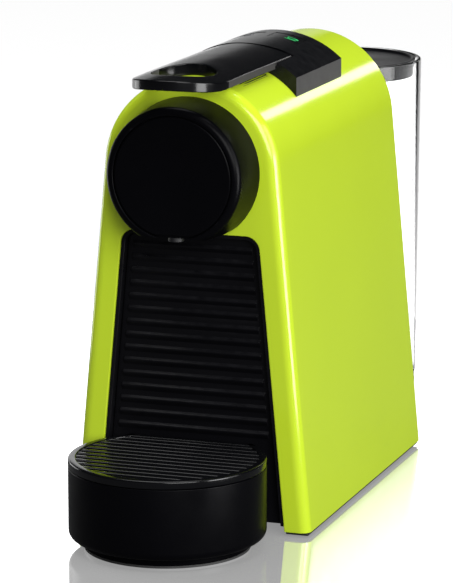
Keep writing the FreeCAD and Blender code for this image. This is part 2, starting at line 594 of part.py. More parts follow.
def pump():
    """A vibration pump: a round barrel in a square coil, with its outlet on top."""
    coil_half = (18, 17)
    body = rod((PUMP_X, PUMP_Y, PUMP_LOW), (PUMP_X, PUMP_Y, PUMP_HIGH), PUMP_R)
    coil = box((PUMP_X - coil_half[0], PUMP_X + coil_half[0]), (PUMP_Y - coil_half[1], PUMP_Y + coil_half[1]),
               (34, 76))
    nose = rod((PUMP_X, PUMP_Y, PUMP_HIGH), (PUMP_X, PUMP_Y, PUMP_HIGH + 8), 5.0)
    return fuse(body, coil, nose)


def pump_mounts():
    """Two rubber collars: a cup under the pump and a ring near its top."""
    collars = []
    for low, high in ((PUMP_LOW - 8, PUMP_LOW + 6), (PUMP_HIGH - 16, PUMP_HIGH - 6)):
        collar = rod((PUMP_X, PUMP_Y, low), (PUMP_X, PUMP_Y, high), MOUNT_R)
        room = rod((PUMP_X, PUMP_Y, max(low, PUMP_LOW)), (PUMP_X, PUMP_Y, high), PUMP_R)
        collars.append(collar.cut(room))
    return Part.makeCompound(collars)


def flow_meter():
    """A small round turbine housing between the tank's hose and the pump."""
    body = rod((HOSE_X, 140, FLOOR_HIGH + 0.2), (HOSE_X, 140, 22), 12.0)
    neck_in = rod((HOSE_X, 150, HOSE_Z), (HOSE_X, METER_END_Y, HOSE_Z), 3.0)
    neck_out = rod((-6, 140, 17), (7, 140, 17), 2.6)
    room = rod((PUMP_X, PUMP_Y, FLOOR_HIGH), (PUMP_X, PUMP_Y, 30), MOUNT_R + FIT)
    return fuse(body, neck_in, neck_out).cut(room)


def control_board():
    """The circuit board under the saddle, with two switches on top and parts hanging below."""
    thick, switch_high, switch_half = 1.6, 0.8, 3.0
    board = box((-17, 17), (88, 150), (BOARD_Z, BOARD_Z + thick))
    for x in (-BUTTON_X, BUTTON_X):
        board = board.fuse(box((x - switch_half, x + switch_half),
                               (BUTTON_Y - switch_half, BUTTON_Y + switch_half),
                               (BOARD_Z, BOARD_Z + thick + switch_high)))
    for y in range(118, 148, 7):
        board = board.fuse(box((-12, -6), (y, y + 4), (BOARD_Z - 1.2, BOARD_Z)))
        board = board.fuse(box((4, 12), (y, y + 4), (BOARD_Z - 2.0, BOARD_Z)))
    room = Part.makeCylinder(ARCH_R - SHELL_WALL - FIT, 100, Vec(0, 80, ARCH_Z), Vec(0, 1, 0))
    return board.common(room).removeSplitter()


# ---- water tank ---------------------------------------------------------------------------------------
def tank_outline(inset, low, high):
    """A slightly tapered cylinder with a flat front, moved inward by inset."""
    taper = (TANK_TOP_R - TANK_LOW_R) / (TANK_TOP - TANK_LOW)
    low_r = TANK_LOW_R + taper * (low - TANK_LOW) - inset
    high_r = TANK_LOW_R + taper * (high - TANK_LOW) - inset
    body = Part.makeCone(low_r, high_r, high - low, Vec(0, TANK_Y, low))
    body = body.cut(box((-60, 60), (150, TANK_FLAT_Y + inset), (low - 1, high + 1)))
    corners = [edge for edge in body.Edges
               if edge.BoundBox.ZLength > high - low - 0.1 and edge.BoundBox.YMax < TANK_FLAT_Y + inset + 0.5]
    return body.makeFillet(max(9.0 - inset, 3.0), corners)


def water_tank():
    tank = tank_outline(0, TANK_LOW, TANK_TOP).cut(tank_outline(TANK_WALL, TANK_LOW + 2.5, TANK_TOP + 1))
    return tank.cut(disc(TANK_Y, TANK_LOW - 1, TANK_LOW + 5, 5.0))


def tank_lid():
    """A lid set inside the tank's rim: a plate, a raised edge with a finger notch, and a skirt."""
    inset, edge = TANK_WALL + RUN, 2.0
    deck, under = TANK_TOP - 1.0, TANK_TOP - 3.2
    plate = tank_outline(inset, under, deck)
    brim = tank_outline(inset, deck, TANK_TOP).cut(tank_outline(inset + edge, deck, TANK_TOP))
    skirt = tank_outline(inset + 0.5, under - 4.8, under)
    skirt = skirt.cut(tank_outline(inset + edge, under - 4.8, under))
    notch = box((-14, -7), (TANK_Y + 30, TANK_Y + 45), (deck, TANK_TOP + 1))
    return fuse(plate, brim, skirt).cut(notch)


def tank_platform():
    """The foot that carries the tank behind the body, with a raised spigot for its valve."""
    low, deck, lip_top = FLOOR_LOW, 21.0, TANK_LOW - 0.4
    under_deck = 17.5

    def outline(inset, start, end):
        return tank_outline(inset, TANK_LOW, TANK_LOW + end - start).translated(Vec(0, 0, start - TANK_LOW))

    body = fuse(outline(0.4, low, deck), box((-34, 34), (BODY_DEPTH - 0.5, TANK_Y), (low, deck)))
    body = body.cut(outline(3.0, 0, under_deck))
    body = body.cut(box((-31, 31), (TANK_FLAT_Y - 10, TANK_Y - 5), (-1, under_deck)))
    lip = outline(0.4, deck, lip_top).cut(outline(3.6, deck - 1, lip_top + 1))
    spigot = fuse(disc(TANK_Y, 11.0, 23.4, 4.0), disc(TANK_Y, 17, 19, 6.0))
    return fuse(body, lip, spigot).cut(disc(TANK_Y, low, 25, 2.0))


def tank_valve():
    """The plunger in the tank's floor, which the spigot lifts when the tank is in place."""
    stem = disc(TANK_Y, TANK_LOW - 0.2, TANK_LOW + 5.0, 3.0)
    head = disc(TANK_Y, TANK_LOW + 2.8, TANK_LOW + 4.6, 7.0)
    return fuse(stem, head)


# ---- capsule drawer and drip tray -----------------------------------------------------------------------
def drip_base():
    """The round drip tray: a cup with a rounded lower edge, on a smaller foot."""
    wall = disc(DRIP_Y, FOOT_Z, GRILLE_Z, DRIP_R)
    low_edges = [edge for edge in wall.Edges if edge.BoundBox.ZMax < FOOT_Z + 0.1]
    wall = wall.makeFillet(DRIP_ROUND, low_edges)
    wall = fuse(wall, disc(DRIP_Y, FOOT_PAD_HIGH, FOOT_Z + 1, FOOT_R))
    wall = wall.cut(disc(DRIP_Y, FOOT_Z + 3, GRILLE_Z + 1, DRIP_R - DRIP_WALL))
    return wall.cut(disc(DRIP_Y, -1, FOOT_Z + 0.8, FOOT_R - FOOT_RING))


def drip_base_foot():
    return ring(DRIP_Y, 0, FOOT_PAD_HIGH, FOOT_R, FOOT_R - FOOT_RING)


def drip_grille():
    """The lift-off cup stand: a rim that is straight at the back, and a row of slats across it."""
    low = GRILLE_Z + 0.35
    slat_top = DRIP_TOP - 0.3
    back = PANEL_Y - RUN
    cap = disc(DRIP_Y, low, DRIP_TOP, DRIP_R)
    top_edges = [edge for edge in cap.Edges if edge.BoundBox.ZMin > DRIP_TOP - 0.1]
    cap = cap.makeFillet(0.8, top_edges)
    rim = cap.cut(disc(DRIP_Y, low - 1, DRIP_TOP + 1, DRIP_R - RIM_WIDE))
    inside = disc(DRIP_Y, low, DRIP_TOP, DRIP_R - RIM_WIDE + 0.4)
    back_bar = box((-DRIP_R, DRIP_R), (back - RIM_WIDE, back), (low, DRIP_TOP)).common(inside)
    skirt_r = DRIP_R - DRIP_WALL - RUN
    skirt = ring(DRIP_Y, low - SKIRT_DEEP, low + 0.5, skirt_r, skirt_r - 1.6)
    spines = both_sides(box((15, 17), (DRIP_Y - 39, back - 1), (low, low + 1)))
    slats = []
    for step in range(-7, 6):
        y = DRIP_Y + step * SLAT_PITCH
        slat = box((-DRIP_R, DRIP_R), (y - SLAT_WIDTH / 2, y + SLAT_WIDTH / 2), (low, slat_top))
        slats.append(slat.common(inside))
    stand = fuse(rim, back_bar, skirt, *spines.Solids, *slats)
    return stand.cut(box(ACROSS, (back, back + 60), (0, 60)))


def drawer_front():
    """The ribbed front of the capsule drawer, which fills the recess above the drip tray."""
    inset = RECESS_INSET + FRAME_WALL + RUN
    high = RECESS_TOP - FRAME_WALL - RUN
    sheet = PANEL_Y + RIB_DEEP
    panel = gate(inset, sheet, sheet + 2, 5.0, high, RECESS_ROUND - FRAME_WALL - RUN)
    ribs = []
    count = int((RIB_TOP_Z - RIB_LOW_Z) / RIB_PITCH)
    for step in range(count + 1):
        z = RIB_TOP_Z - step * RIB_PITCH
        half = side_x(z, inset) - 2.5
        # a rib's section: steep on top, a short flat, and a long slope below
        section = [(sheet + 0.1, 0), (PANEL_Y, -0.9), (PANEL_Y, -1.5), (sheet + 0.1, -3.6)]
        points = [Vec(-half, y, z + rise) for y, rise in section]
        ribs.append(Part.Face(Part.makePolygon(points + points[:1])).extrude(Vec(2 * half, 0, 0)))
    panel = fuse(panel, *ribs)
    return panel.cut(disc(DRIP_Y, -5, GRILLE_Z + FIT, DRIP_R + FIT))


def drawer_sled():
    """The floor that joins the drip tray to the capsule bin and slides on the base plate."""
    low, high, wall_top = FLOOR_HIGH + 1, 7.6, 30.0
    plate = box((-36, 36), (PANEL_Y + 3.3, BIN_REAR), (low, high))
    web = both_sides(box((BIN_HALF + FIT, BIN_HALF + 2.6), (PANEL_Y + 3.3, BIN_REAR), (high, wall_top)))
    room = disc(DRIP_Y, 0, wall_top + 10, DRIP_R + FIT)
    return fuse(plate, *web.Solids).cut(room)


def capsule_bin():
    wall = 1.8
    front, low = 15.2, 7.7
    outer = box((-BIN_HALF, BIN_HALF), (front, BIN_REAR), (low, BIN_TOP))
    half = BIN_HALF - wall
    inner = box((-half, half), (front + wall, BIN_REAR - wall), (low + wall, BIN_TOP + 1))
    return outer.cut(inner)


# ---- buttons ------------------------------------------------------------------------------------------
def button(x):
    """A cap that follows the saddle's crown, on a stem that stands over its switch."""
    cap = saddle_block(BUTTON_Y - BUTTON_HALF_Y, BUTTON_Y + BUTTON_HALF_Y, 40, 2.4, 0.15)
    cap = cap.common(box((x - BUTTON_HALF_X, x + BUTTON_HALF_X), (80, 130), (150, 220)))
    stem = rod((x, BUTTON_Y, BOARD_Z + 3.6), (x, BUTTON_Y, SADDLE_TOP - 2.5), 2.0)
    return fuse(cap, stem)


# ---- write every piece --------------------------------------------------------------------------------
knee = (KNEE_Y, ARCH_Z)
cage_pin = (CAGE_PIN_Y, ARCH_Z)
rear_pivot = (REAR_PIVOT_Y, ARCH_Z)

save("outer_shell", outer_shell())
save("base_plate", base_plate())
save("rubber_feet", rubber_feet())
save("front_frame", front_frame())
save("rear_cover", rear_cover())
save("rear_screws", rear_screws())
save("cord_gland", cord_gland())
save("control_saddle", control_saddle())
save("control_board", control_board())
save("brew_head_cover", brew_head_cover())
save("brew_head_face", brew_head_face())
save("coffee_spout", coffee_spout())
save("extraction_plate", extraction_plate())
save("capsule_chute", capsule_chute())
save("brew_frame", brew_frame())
save("lever_hinge_pin", pin(HINGE_Y, HINGE_Z, CHEEK_OUT))
save("rear_link_pin", pin(*rear_pivot, REAR_LUG_X + LINK_THICK))
save("thermoblock", thermoblock())
save("pump", pump())
save("pump_mounts", pump_mounts())
save("flow_meter", flow_meter())
save("suction_hose", tube([(0, TANK_Y - 4.2, HOSE_Z), (0, 192, HOSE_Z), (HOSE_X, 182, HOSE_Z),
                            (HOSE_X, METER_END_Y + FIT, HOSE_Z)], 2.6, 6))
save("pump_hose", tube([(PUMP_X, PUMP_Y, PUMP_HIGH + 8.1), (PUMP_X, PUMP_Y, 113), (INLET_X, INLET_Y, 113),
                        (INLET_X, INLET_Y, 117.9)], 2.2, 4))
save("cage_hose", tube([(HOSE_X, 112.4, OUTLET_Z), (HOSE_X, 104, OUTLET_Z), (HOSE_X, 104, 147),
                        (HOSE_X, 92, 147)], 2.2, 5))
save("tank_platform", tank_platform())
save("tank_inlet_seal", ring(TANK_Y, 21.1, 22.6, 6.5, 4.1))

save("lever_strap", lever_strap())
save("lever_crank", lever_crank())
save("crank_pins", crank_pins())
save("pull_links", pull_links())
save("toggle_rear_links", links(rear_pivot, knee, REAR_LINK_X))
save("toggle_front_links", links(cage_pin, knee, FRONT_LINK_X))
save("capsule_cage", capsule_cage())
save("cage_seal", cage_seal())
save("piercing_blades", piercing_blades())
save("cage_link_pin", pin(*cage_pin, REAR_LINK_X + LINK_THICK))

save("button_espresso", button(-BUTTON_X))
save("button_lungo", button(BUTTON_X))

save("drawer_sled", drawer_sled())
save("drawer_front", drawer_front())
save("capsule_bin", capsule_bin())
save("drip_base", drip_base())
save("drip_base_foot", drip_base_foot())
save("drip_grille", drip_grille())

save("water_tank", water_tank())
save("tank_lid", tank_lid())
save("tank_valve", tank_valve())
print("origin y", round(ORIGIN_Y, 3), " overall depth", round(OVERALL_REAR - OVERALL_FRONT, 2))
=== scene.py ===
# %% [markdown]
# # A pod coffee machine, built around its engineering model
# The engineering model already holds every part at its true size and place. This script keeps that model
# as a fixed frame and gives the visible parts their finished surfaces, one short step at a time. Lengths
# are metres, +Z is up, and +Y runs from the cup side to the water tank.

# %% Load the frame
import json
import math

import bmesh
import bpy
import numpy as np
from mathutils import Matrix, Vector


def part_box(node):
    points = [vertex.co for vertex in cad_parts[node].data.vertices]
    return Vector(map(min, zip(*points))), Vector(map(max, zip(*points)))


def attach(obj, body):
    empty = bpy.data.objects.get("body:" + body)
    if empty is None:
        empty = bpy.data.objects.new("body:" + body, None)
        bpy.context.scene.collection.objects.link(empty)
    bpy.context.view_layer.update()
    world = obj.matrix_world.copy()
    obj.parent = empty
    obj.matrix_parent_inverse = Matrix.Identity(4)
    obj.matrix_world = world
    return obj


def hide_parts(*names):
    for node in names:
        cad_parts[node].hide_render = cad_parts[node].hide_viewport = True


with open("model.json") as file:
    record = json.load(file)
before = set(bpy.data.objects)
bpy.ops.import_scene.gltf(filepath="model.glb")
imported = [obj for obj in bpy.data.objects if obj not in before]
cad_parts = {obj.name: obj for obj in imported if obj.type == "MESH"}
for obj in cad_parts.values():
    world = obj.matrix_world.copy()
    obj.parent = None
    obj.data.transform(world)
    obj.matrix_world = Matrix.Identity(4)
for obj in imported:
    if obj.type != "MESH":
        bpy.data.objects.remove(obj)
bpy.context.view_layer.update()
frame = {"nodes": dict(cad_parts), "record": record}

MM = 0.001


# %% [markdown]
# Most sizes below are read from the frame, so that each surface lands exactly where the part is. A part's
# box has a low corner and a high corner. The plane of the green front face is the most useful datum: the
# drip tray is in front of it and the casing behind it.

# %% Datums
shell_low, shell_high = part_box("outer_shell")
FRONT = shell_low.y
REAR = shell_high.y
ARCH_TOP = shell_high.z


def along(y_mm):
    """Distance behind the green front face, in millimetres, turned into a Y position in metres."""
    return FRONT + y_mm * MM


print("front face at y = %.4f, casing %.1f mm deep" % (FRONT, (REAR - FRONT) / MM))

# %% [markdown]
# ## Camera
# A long lens from one and a half metres away keeps the sides of the casing almost parallel, as in a
# catalogue picture. The camera is placed on a direction, given by its angle round the machine and its
# height angle, and then turned to look at a point in the middle of the body. A small shift moves the
# machine within the picture without turning the camera.

# %% Camera
CAMERA_TURN, CAMERA_LIFT, CAMERA_DISTANCE = math.radians(19.05), math.radians(11.67), 1.525
LENS_MM, SENSOR_MM = 209.2, 36.0
SHIFT_X, SHIFT_Y = -0.0139, -0.0214

target = Vector((0.0, along(60.0), 0.100))
level = math.cos(CAMERA_LIFT)
direction = Vector((math.sin(CAMERA_TURN) * level, -math.cos(CAMERA_TURN) * level, math.sin(CAMERA_LIFT)))
camera_data = bpy.data.cameras.new("camera")
camera_data.sensor_fit = "VERTICAL"
camera_data.sensor_height = SENSOR_MM
camera_data.lens = LENS_MM
camera_data.shift_x = SHIFT_X
camera_data.shift_y = SHIFT_Y
camera = bpy.data.objects.new("camera", camera_data)
camera.location = target + CAMERA_DISTANCE * direction
camera.rotation_euler = direction.to_track_quat("Z", "Y").to_euler()
bpy.context.collection.objects.link(camera)
bpy.context.scene.camera = camera
print("camera at", [round(v, 3) for v in camera.location])

# %% [markdown]
# ## Mesh helpers
# Every new piece is one or more grids of points, worked out with numpy as whole arrays. A grid may be
# wrapped, so that its last row or column joins the first. The helper below turns the grids into one mesh,
# merges the points that meet, and turns all faces outward. Shapes that are turned on an axis start as a
# profile in millimetres, and its corners are rounded before it is turned.


# %% Grids to a mesh
TURN_STEPS = 240


def quads(rows, columns, wrap_rows, wrap_columns, keep=None):
    """Corner numbers of every cell of a grid, as an array of four columns."""
    i = np.arange(rows if wrap_rows else rows - 1)[:, None]
    j = np.arange(columns if wrap_columns else columns - 1)[None, :]
    i2, j2 = (i + 1) % rows, (j + 1) % columns
    cells = np.stack([i * columns + j, i2 * columns + j, i2 * columns + j2, i * columns + j2], axis=-1)
    return cells.reshape(-1, 4) if keep is None else cells[keep]


def make_piece(name, grids, body, slot, sharp_deg=32.0, sheet=None):
    """Build one object from grids: each is (points, wrap rows, wrap columns) or has a cell mask too.

    A closed piece has its open ends filled and its faces turned outward. A sheet, which gets its wall
    later, stays open, and its faces are turned away from the point that sheet gives, in metres.
    """
    points, faces, start = [], [], 0
    for grid in grids:
        pts, wrap_rows, wrap_columns = grid[:3]
        keep = grid[3] if len(grid) > 3 else None
        points.append(pts.reshape(-1, 3))
        faces.append(quads(pts.shape[0], pts.shape[1], wrap_rows, wrap_columns, keep) + start)
        start += pts.shape[0] * pts.shape[1]
    mesh = bpy.data.meshes.new(name)
    mesh.from_pydata(np.concatenate(points), [], np.concatenate(faces))
    work = bmesh.new()
    work.from_mesh(mesh)
    bmesh.ops.remove_doubles(work, verts=work.verts, dist=2e-6)
    bmesh.ops.dissolve_degenerate(work, edges=work.edges, dist=1e-7)
    if sheet is None:
        bmesh.ops.holes_fill(work, edges=[edge for edge in work.edges if edge.is_boundary], sides=0)
    bmesh.ops.recalc_face_normals(work, faces=work.faces)
    if sheet is not None:
        outward = sum(face.normal.dot(face.calc_center_median() - Vector(sheet)) for face in work.faces)
        if outward < 0:
            bmesh.ops.reverse_faces(work, faces=work.faces)
    work.to_mesh(mesh)
    work.free()
    mesh.shade_smooth()
    mesh.set_sharp_from_angle(angle=math.radians(sharp_deg))
    piece = bpy.data.objects.new(name, mesh)
    bpy.context.collection.objects.link(piece)
    mesh.materials.append(finishes[slot])
    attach(piece, body)
    print("%-18s %6d faces" % (name, len(mesh.polygons)))
    return piece


def turned(profile, centre, axis="Z"):
    """A profile of (radius, height) in mm, turned about an axis: each ring is the profile at one angle."""
    radius, height = (np.array(profile) * MM).T
    angle = np.linspace(0, 2 * np.pi, TURN_STEPS, endpoint=False)[:, None]
    across, up = radius * np.cos(angle), radius * np.sin(angle)
    level = np.broadcast_to(height, across.shape)
    order = {"Z": (across, up, level), "Y": (up, level, across)}[axis]
    return np.stack(order, axis=-1) + np.array(centre), True, False


def fillet(corner_a, corner, corner_b, radius, steps=6):
    """Points of a round corner of a profile: the arc that touches both straight sides."""
    a, c, b = np.array(corner_a, float), np.array(corner, float), np.array(corner_b, float)
    u, v = (a - c) / np.linalg.norm(a - c), (b - c) / np.linalg.norm(b - c)
    half = math.acos(np.clip(u @ v, -1, 1)) / 2
    first, last = c + u * radius / math.tan(half), c + v * radius / math.tan(half)
    middle = c + (u + v) / np.linalg.norm(u + v) * radius / math.sin(half)
    start, end = first - middle, last - middle
    t = np.linspace(0, 1, steps + 1)[:, None]
    full = np.pi - 2 * half
    return middle + (start * np.sin((1 - t) * full) + end * np.sin(t * full)) / math.sin(full)


def rounded(profile, radii, steps=5):
    """A closed or open list of corners with each inner corner rounded by its own radius (0 keeps it)."""
    points = [np.array(profile[0], float)[None]]
    for before, corner, after, radius in zip(profile, profile[1:], profile[2:], radii):
        sharp = np.array(corner, float)[None]
        points.append(fillet(before, corner, after, radius, steps) if radius else sharp)
    points.append(np.array(profile[-1], float)[None])
    return np.concatenate(points)


def finish_edges(piece, width, angle_deg=35.0, segments=2):
    """A small live bevel on the sharp edges, and normals weighted by face size so flats stay flat."""
    bevel = piece.modifiers.new("soft edges", "BEVEL")
    bevel.width = width
    bevel.segments = segments
    bevel.limit_method = "ANGLE"
    bevel.angle_limit = math.radians(angle_deg)
    weighted = piece.modifiers.new("flat faces stay flat", "WEIGHTED_NORMAL")
    weighted.keep_sharp = False
    return piece


# %% [markdown]
# ## Shared finishes
# Moulded plastic is never quite even. Two node groups are made once and shared by every material that
# surface() makes. The first is the moulded skin: a slow drift of tone, an uneven roughness and the height of
# a fine grain. The second is wear: a lighter colour on the outer edges, broken up by noise.


# %% The two node groups
def feed(tree, node, inputs):
    """Fill a node's inputs, by name or number: another node's output is linked, a plain value is set."""
    for key, value in inputs.items():
        if isinstance(value, bpy.types.NodeSocket):
            tree.links.new(value, node.inputs[key])
        else:
            node.inputs[key].default_value = value


def new_group(name, inputs, outputs):
    """An empty shader node group with named sockets; returns it with its two end nodes."""
    group = bpy.data.node_groups.new(name, "ShaderNodeTree")
    for socket, kind, default in inputs:
        made = group.interface.new_socket(socket, in_out="INPUT", socket_type="NodeSocket" + kind)
        if default is not None:
            made.default_value = default
    for socket, kind in outputs:
        group.interface.new_socket(socket, in_out="OUTPUT", socket_type="NodeSocket" + kind)
    return group, group.nodes.new("NodeGroupInput"), group.nodes.new("NodeGroupOutput")


def noise(tree, vector, scale, detail=3.0, roughness=0.55):
    """Noise at a vector, as a factor around 0.5; the scale is a number or another node's output."""
    node = tree.nodes.new("ShaderNodeTexNoise")
    feed(tree, node, {"Vector": vector, "Scale": scale, "Detail": detail, "Roughness": roughness})
    return node.outputs["Fac"]


def remap(tree, value, low, high, from_low=0.3, from_high=0.7):
    """Stretch a value from its own range to low and high, which are numbers or other nodes' outputs."""
    node = tree.nodes.new("ShaderNodeMapRange")
    feed(tree, node, {"Value": value, "From Min": from_low, "From Max": from_high,
                      "To Min": low, "To Max": high})
    return node.outputs["Result"]


def calculated(tree, operation, *values, clamp=False):
    """The result of a math node, kept between 0 and 1 with clamp."""
    node = tree.nodes.new("ShaderNodeMath")
    node.operation = operation
    node.use_clamp = clamp
    feed(tree, node, dict(enumerate(values)))
    return node.outputs[0]


def mixed_colour(tree, factor, first, second):
    """A colour that goes from the first to the second as the factor goes from 0 to 1."""
    node = tree.nodes.new("ShaderNodeMix")
    node.data_type = "RGBA"
    feed(tree, node, {"Factor": factor, "A": first, "B": second})
    return node.outputs["Result"]


def moulded_skin():
    """Group: colour that drifts, roughness that varies, and the height of a fine moulded grain."""
    group, given, result = new_group(
        "moulded_skin",
        [("Vector", "Vector", None), ("Colour", "Color", None), ("Drift", "Float", 0.05),
         ("Rough Low", "Float", 0.3), ("Rough High", "Float", 0.4), ("Grain Scale", "Float", 900.0)],
        [("Colour", "Color"), ("Roughness", "Float"), ("Height", "Float")])
    vector = given.outputs["Vector"]
    slow = remap(group, noise(group, vector, 14.0, 2.0), -1.0, 1.0)
    blotch = noise(group, vector, 60.0, 4.0)
    shade = group.nodes.new("ShaderNodeHueSaturation")
    feed(group, shade, {"Value": calculated(group, "MULTIPLY_ADD", slow, given.outputs["Drift"], 1.0),
                        "Color": given.outputs["Colour"]})
    feed(group, result, {
        "Colour": shade.outputs["Color"],
        "Roughness": remap(group, blotch, given.outputs["Rough Low"], given.outputs["Rough High"]),
        "Height": noise(group, vector, given.outputs["Grain Scale"], 2.0, 0.7)})
    return group


def edge_wear():
    """Group: mixes a lighter colour in on convex edges, broken up by noise."""
    group, given, result = new_group(
        "edge_wear",
        [("Vector", "Vector", None), ("Colour", "Color", None), ("Worn", "Color", None),
         ("Amount", "Float", 0.3)],
        [("Colour", "Color"), ("Mask", "Float")])
    pointiness = group.nodes.new("ShaderNodeNewGeometry").outputs["Pointiness"]
    edge = remap(group, pointiness, 0.0, 1.0, 0.52, 0.60)
    broken = remap(group, noise(group, given.outputs["Vector"], 220.0, 4.0), 0.1, 1.0)
    mask = calculated(group, "MULTIPLY", calculated(group, "MULTIPLY", edge, broken), given.outputs["Amount"])
    worn = mixed_colour(group, mask, given.outputs["Colour"], given.outputs["Worn"])
    feed(group, result, {"Colour": worn, "Mask": mask})
    return group


SKIN = moulded_skin()
WEAR = edge_wear()
print("node groups:", SKIN.name, WEAR.name)

# %% [markdown]
# A material places both groups in front of one Principled BSDF. Values that are the same all over, such as
# metallic or the specular level, are set on the shader itself. Two looks are extra: `black_matt` is for
# the head and the tray, which are duller than the other black parts, and the satin side look is for the
# upright sides of the saddle and the lever. Its base colour is a painted sheen: a grey, lighter than the
# other black parts, that stands in for the light these sides catch from the right. Its higher roughness is a
# real satin. The pieces keep their own slot and only carry the other material.


# %% Plastic, rubber and metal
def new_material(name):
    """A new material, its node tree, its Principled BSDF and the output with object coordinates."""
    material = bpy.data.materials.new(name)
    material.use_nodes = True
    tree = material.node_tree
    place = tree.nodes.new("ShaderNodeTexCoord").outputs["Object"]
    return material, tree, tree.nodes["Principled BSDF"], place


def surface(name, colour, rough, grain=900.0, bump=0.0004, drift=0.04, worn=None, wear=0.25, **shader):
    """A Principled material fed by the two shared groups; shader names plain sockets to set."""
    material, tree, bsdf, place = new_material(name)
    skin = tree.nodes.new("ShaderNodeGroup")
    skin.node_tree = SKIN
    feed(tree, skin, {"Vector": place, "Colour": (*colour, 1), "Drift": drift, "Rough Low": rough[0],
                      "Rough High": rough[1], "Grain Scale": grain})
    edges = tree.nodes.new("ShaderNodeGroup")
    edges.node_tree = WEAR
    lighter = worn or [min(1, c * 1.6 + 0.03) for c in colour]
    feed(tree, edges, {"Vector": place, "Colour": skin.outputs["Colour"], "Worn": (*lighter, 1),
                       "Amount": wear})
    relief = tree.nodes.new("ShaderNodeBump")
    feed(tree, relief, {"Distance": bump, "Strength": 0.5, "Height": skin.outputs["Height"]})
    feed(tree, bsdf, {"Base Color": edges.outputs["Colour"], "Roughness": skin.outputs["Roughness"],
                      "Normal": relief.outputs["Normal"]})
    feed(tree, bsdf, {socket.replace("_", " "): value for socket, value in shader.items()})
    return material


LIME = (0.500, 0.665, 0.026)
finishes = {
    "lime_gloss": surface("lime_gloss", LIME, (0.11, 0.15), 260.0, 0.00002, 0.015, wear=0.12,
                          Specular_IOR_Level=0.42),
    "black_gloss": surface("black_gloss", (0.0025, 0.0026, 0.0032), (0.13, 0.18), 300.0, 0.00003, 0.1,
                           worn=(0.02, 0.02, 0.022), wear=0.3, Specular_IOR_Level=0.22),
    "black_satin": surface("black_satin", (0.0028, 0.0028, 0.0036), (0.27, 0.36), 1400.0, 0.00008, 0.15,
                           worn=(0.03, 0.03, 0.034), wear=0.25, Specular_IOR_Level=0.13),
    "black_matt": surface("black_matt", (0.0016, 0.0016, 0.0022), (0.27, 0.36), 1400.0, 0.00008, 0.15,
                          worn=(0.03, 0.03, 0.034), wear=0.2, Specular_IOR_Level=0.05),
    # Painted sheen on the upright sides: a lighter grey base colour stands in for the light they catch from
    # the right.
    "satin_painted_sheen": surface("satin_painted_sheen", (0.060, 0.058, 0.058), (0.36, 0.46), 1300.0, 0.0001, 0.12,
                          worn=(0.10, 0.10, 0.10), wear=0.3, Specular_IOR_Level=0.3),
    "black_structure": surface("black_structure", (0.006, 0.006, 0.007), (0.42, 0.55), 1100.0, 0.0002, 0.15,
                               worn=(0.03, 0.03, 0.034), Specular_IOR_Level=0.35),
    "dark_engineering": surface("dark_engineering", (0.055, 0.055, 0.060), (0.45, 0.6), 800.0, 0.0002, 0.2),
    "rubber": surface("rubber", (0.018, 0.018, 0.018), (0.65, 0.8), 1000.0, 0.0003, 0.2),
    "seal_silicone": surface("seal_silicone", (0.50, 0.13, 0.05), (0.4, 0.5), 900.0, 0.0001, 0.1,
                             Subsurface_Weight=0.2, Subsurface_Scale=0.002),
    "hose": surface("hose", (0.72, 0.72, 0.68), (0.3, 0.4), 700.0, 0.0001, 0.06,
                    Subsurface_Weight=0.3, Subsurface_Scale=0.003),
    "steel": surface("steel", (0.56, 0.56, 0.57), (0.22, 0.34), 1500.0, 0.0001, 0.08, Metallic=1.0),
    "cast_block": surface("cast_block", (0.60, 0.60, 0.62), (0.45, 0.6), 500.0, 0.0004, 0.1, Metallic=1.0),
    "pump_casing": surface("pump_casing", (0.50, 0.50, 0.47), (0.45, 0.6), 900.0, 0.0002, 0.1),
    "board": surface("board", (0.015, 0.14, 0.05), (0.3, 0.5), 120.0, 0.0002, 0.25),
}


# %% [markdown]
# The tank is clear plastic. Light goes through it, so its colour, metallic and transmission are plain
# values, and only a faint haze in its roughness changes over the surface.


# %% Clear plastic
def clear_plastic():
    """Clear plastic with a faint, uneven haze."""
    material, tree, bsdf, place = new_material("clear_tank")
    haze = remap(tree, noise(tree, place, 40.0, 4.0), 0.0, 0.05)
    feed(tree, bsdf, {"Base Color": (0.985, 0.992, 0.992, 1), "Transmission Weight": 1.0, "IOR": 1.45,
                      "Roughness": haze})
    return material


finishes["clear_tank"] = clear_plastic()
for sub in frame["record"]["subparts"]:
    node = frame["nodes"][sub["node"]]
    node.data.materials.clear()
    node.data.materials.append(finishes[sub["material_slot"]])
print("finishes:", len(finishes))


# %% [markdown]
# ## Casing
# The green casing is one moulding, about 2.5 mm thick, open at the back and below. Its outline is a round
# arch on two leaning sides. A box with booleans would give it long thin triangles and hard edges, so here
# it is one sheet: the outline is carried from the back to the front, round the front edge, and on across
# the front face to the recess. A Solidify modifier gives the sheet its wall. The slot for the pods and the
# hollow for the hinge are cells that are left out of the grid.

# %% Outline of the body
FLARE = math.radians(5.3)
BASE_HALF = shell_high.x / MM + shell_low.z / MM * math.tan(FLARE)
ARCH_Z = (ARCH_TOP / MM - BASE_HALF * math.cos(FLARE)) / (1 - math.sin(FLARE))
ARCH_R = ARCH_TOP / MM - ARCH_Z
DEPTH = (REAR - FRONT) / MM
WALL, EDGE_ROUND = 2.5, 4.6


def to_frame(x, y, z):
    """Millimetres, with y counted from the green front face, turned into points in metres."""
    x, y, z = np.broadcast_arrays(x, y, z)
    return np.stack([x * MM, FRONT + y * MM, z * MM], axis=-1)


def side_half(z, inset):
    """Half width of the body at a height: the leaning side line, moved inward by inset."""
    return BASE_HALF - z * math.tan(FLARE) - inset / math.cos(FLARE)


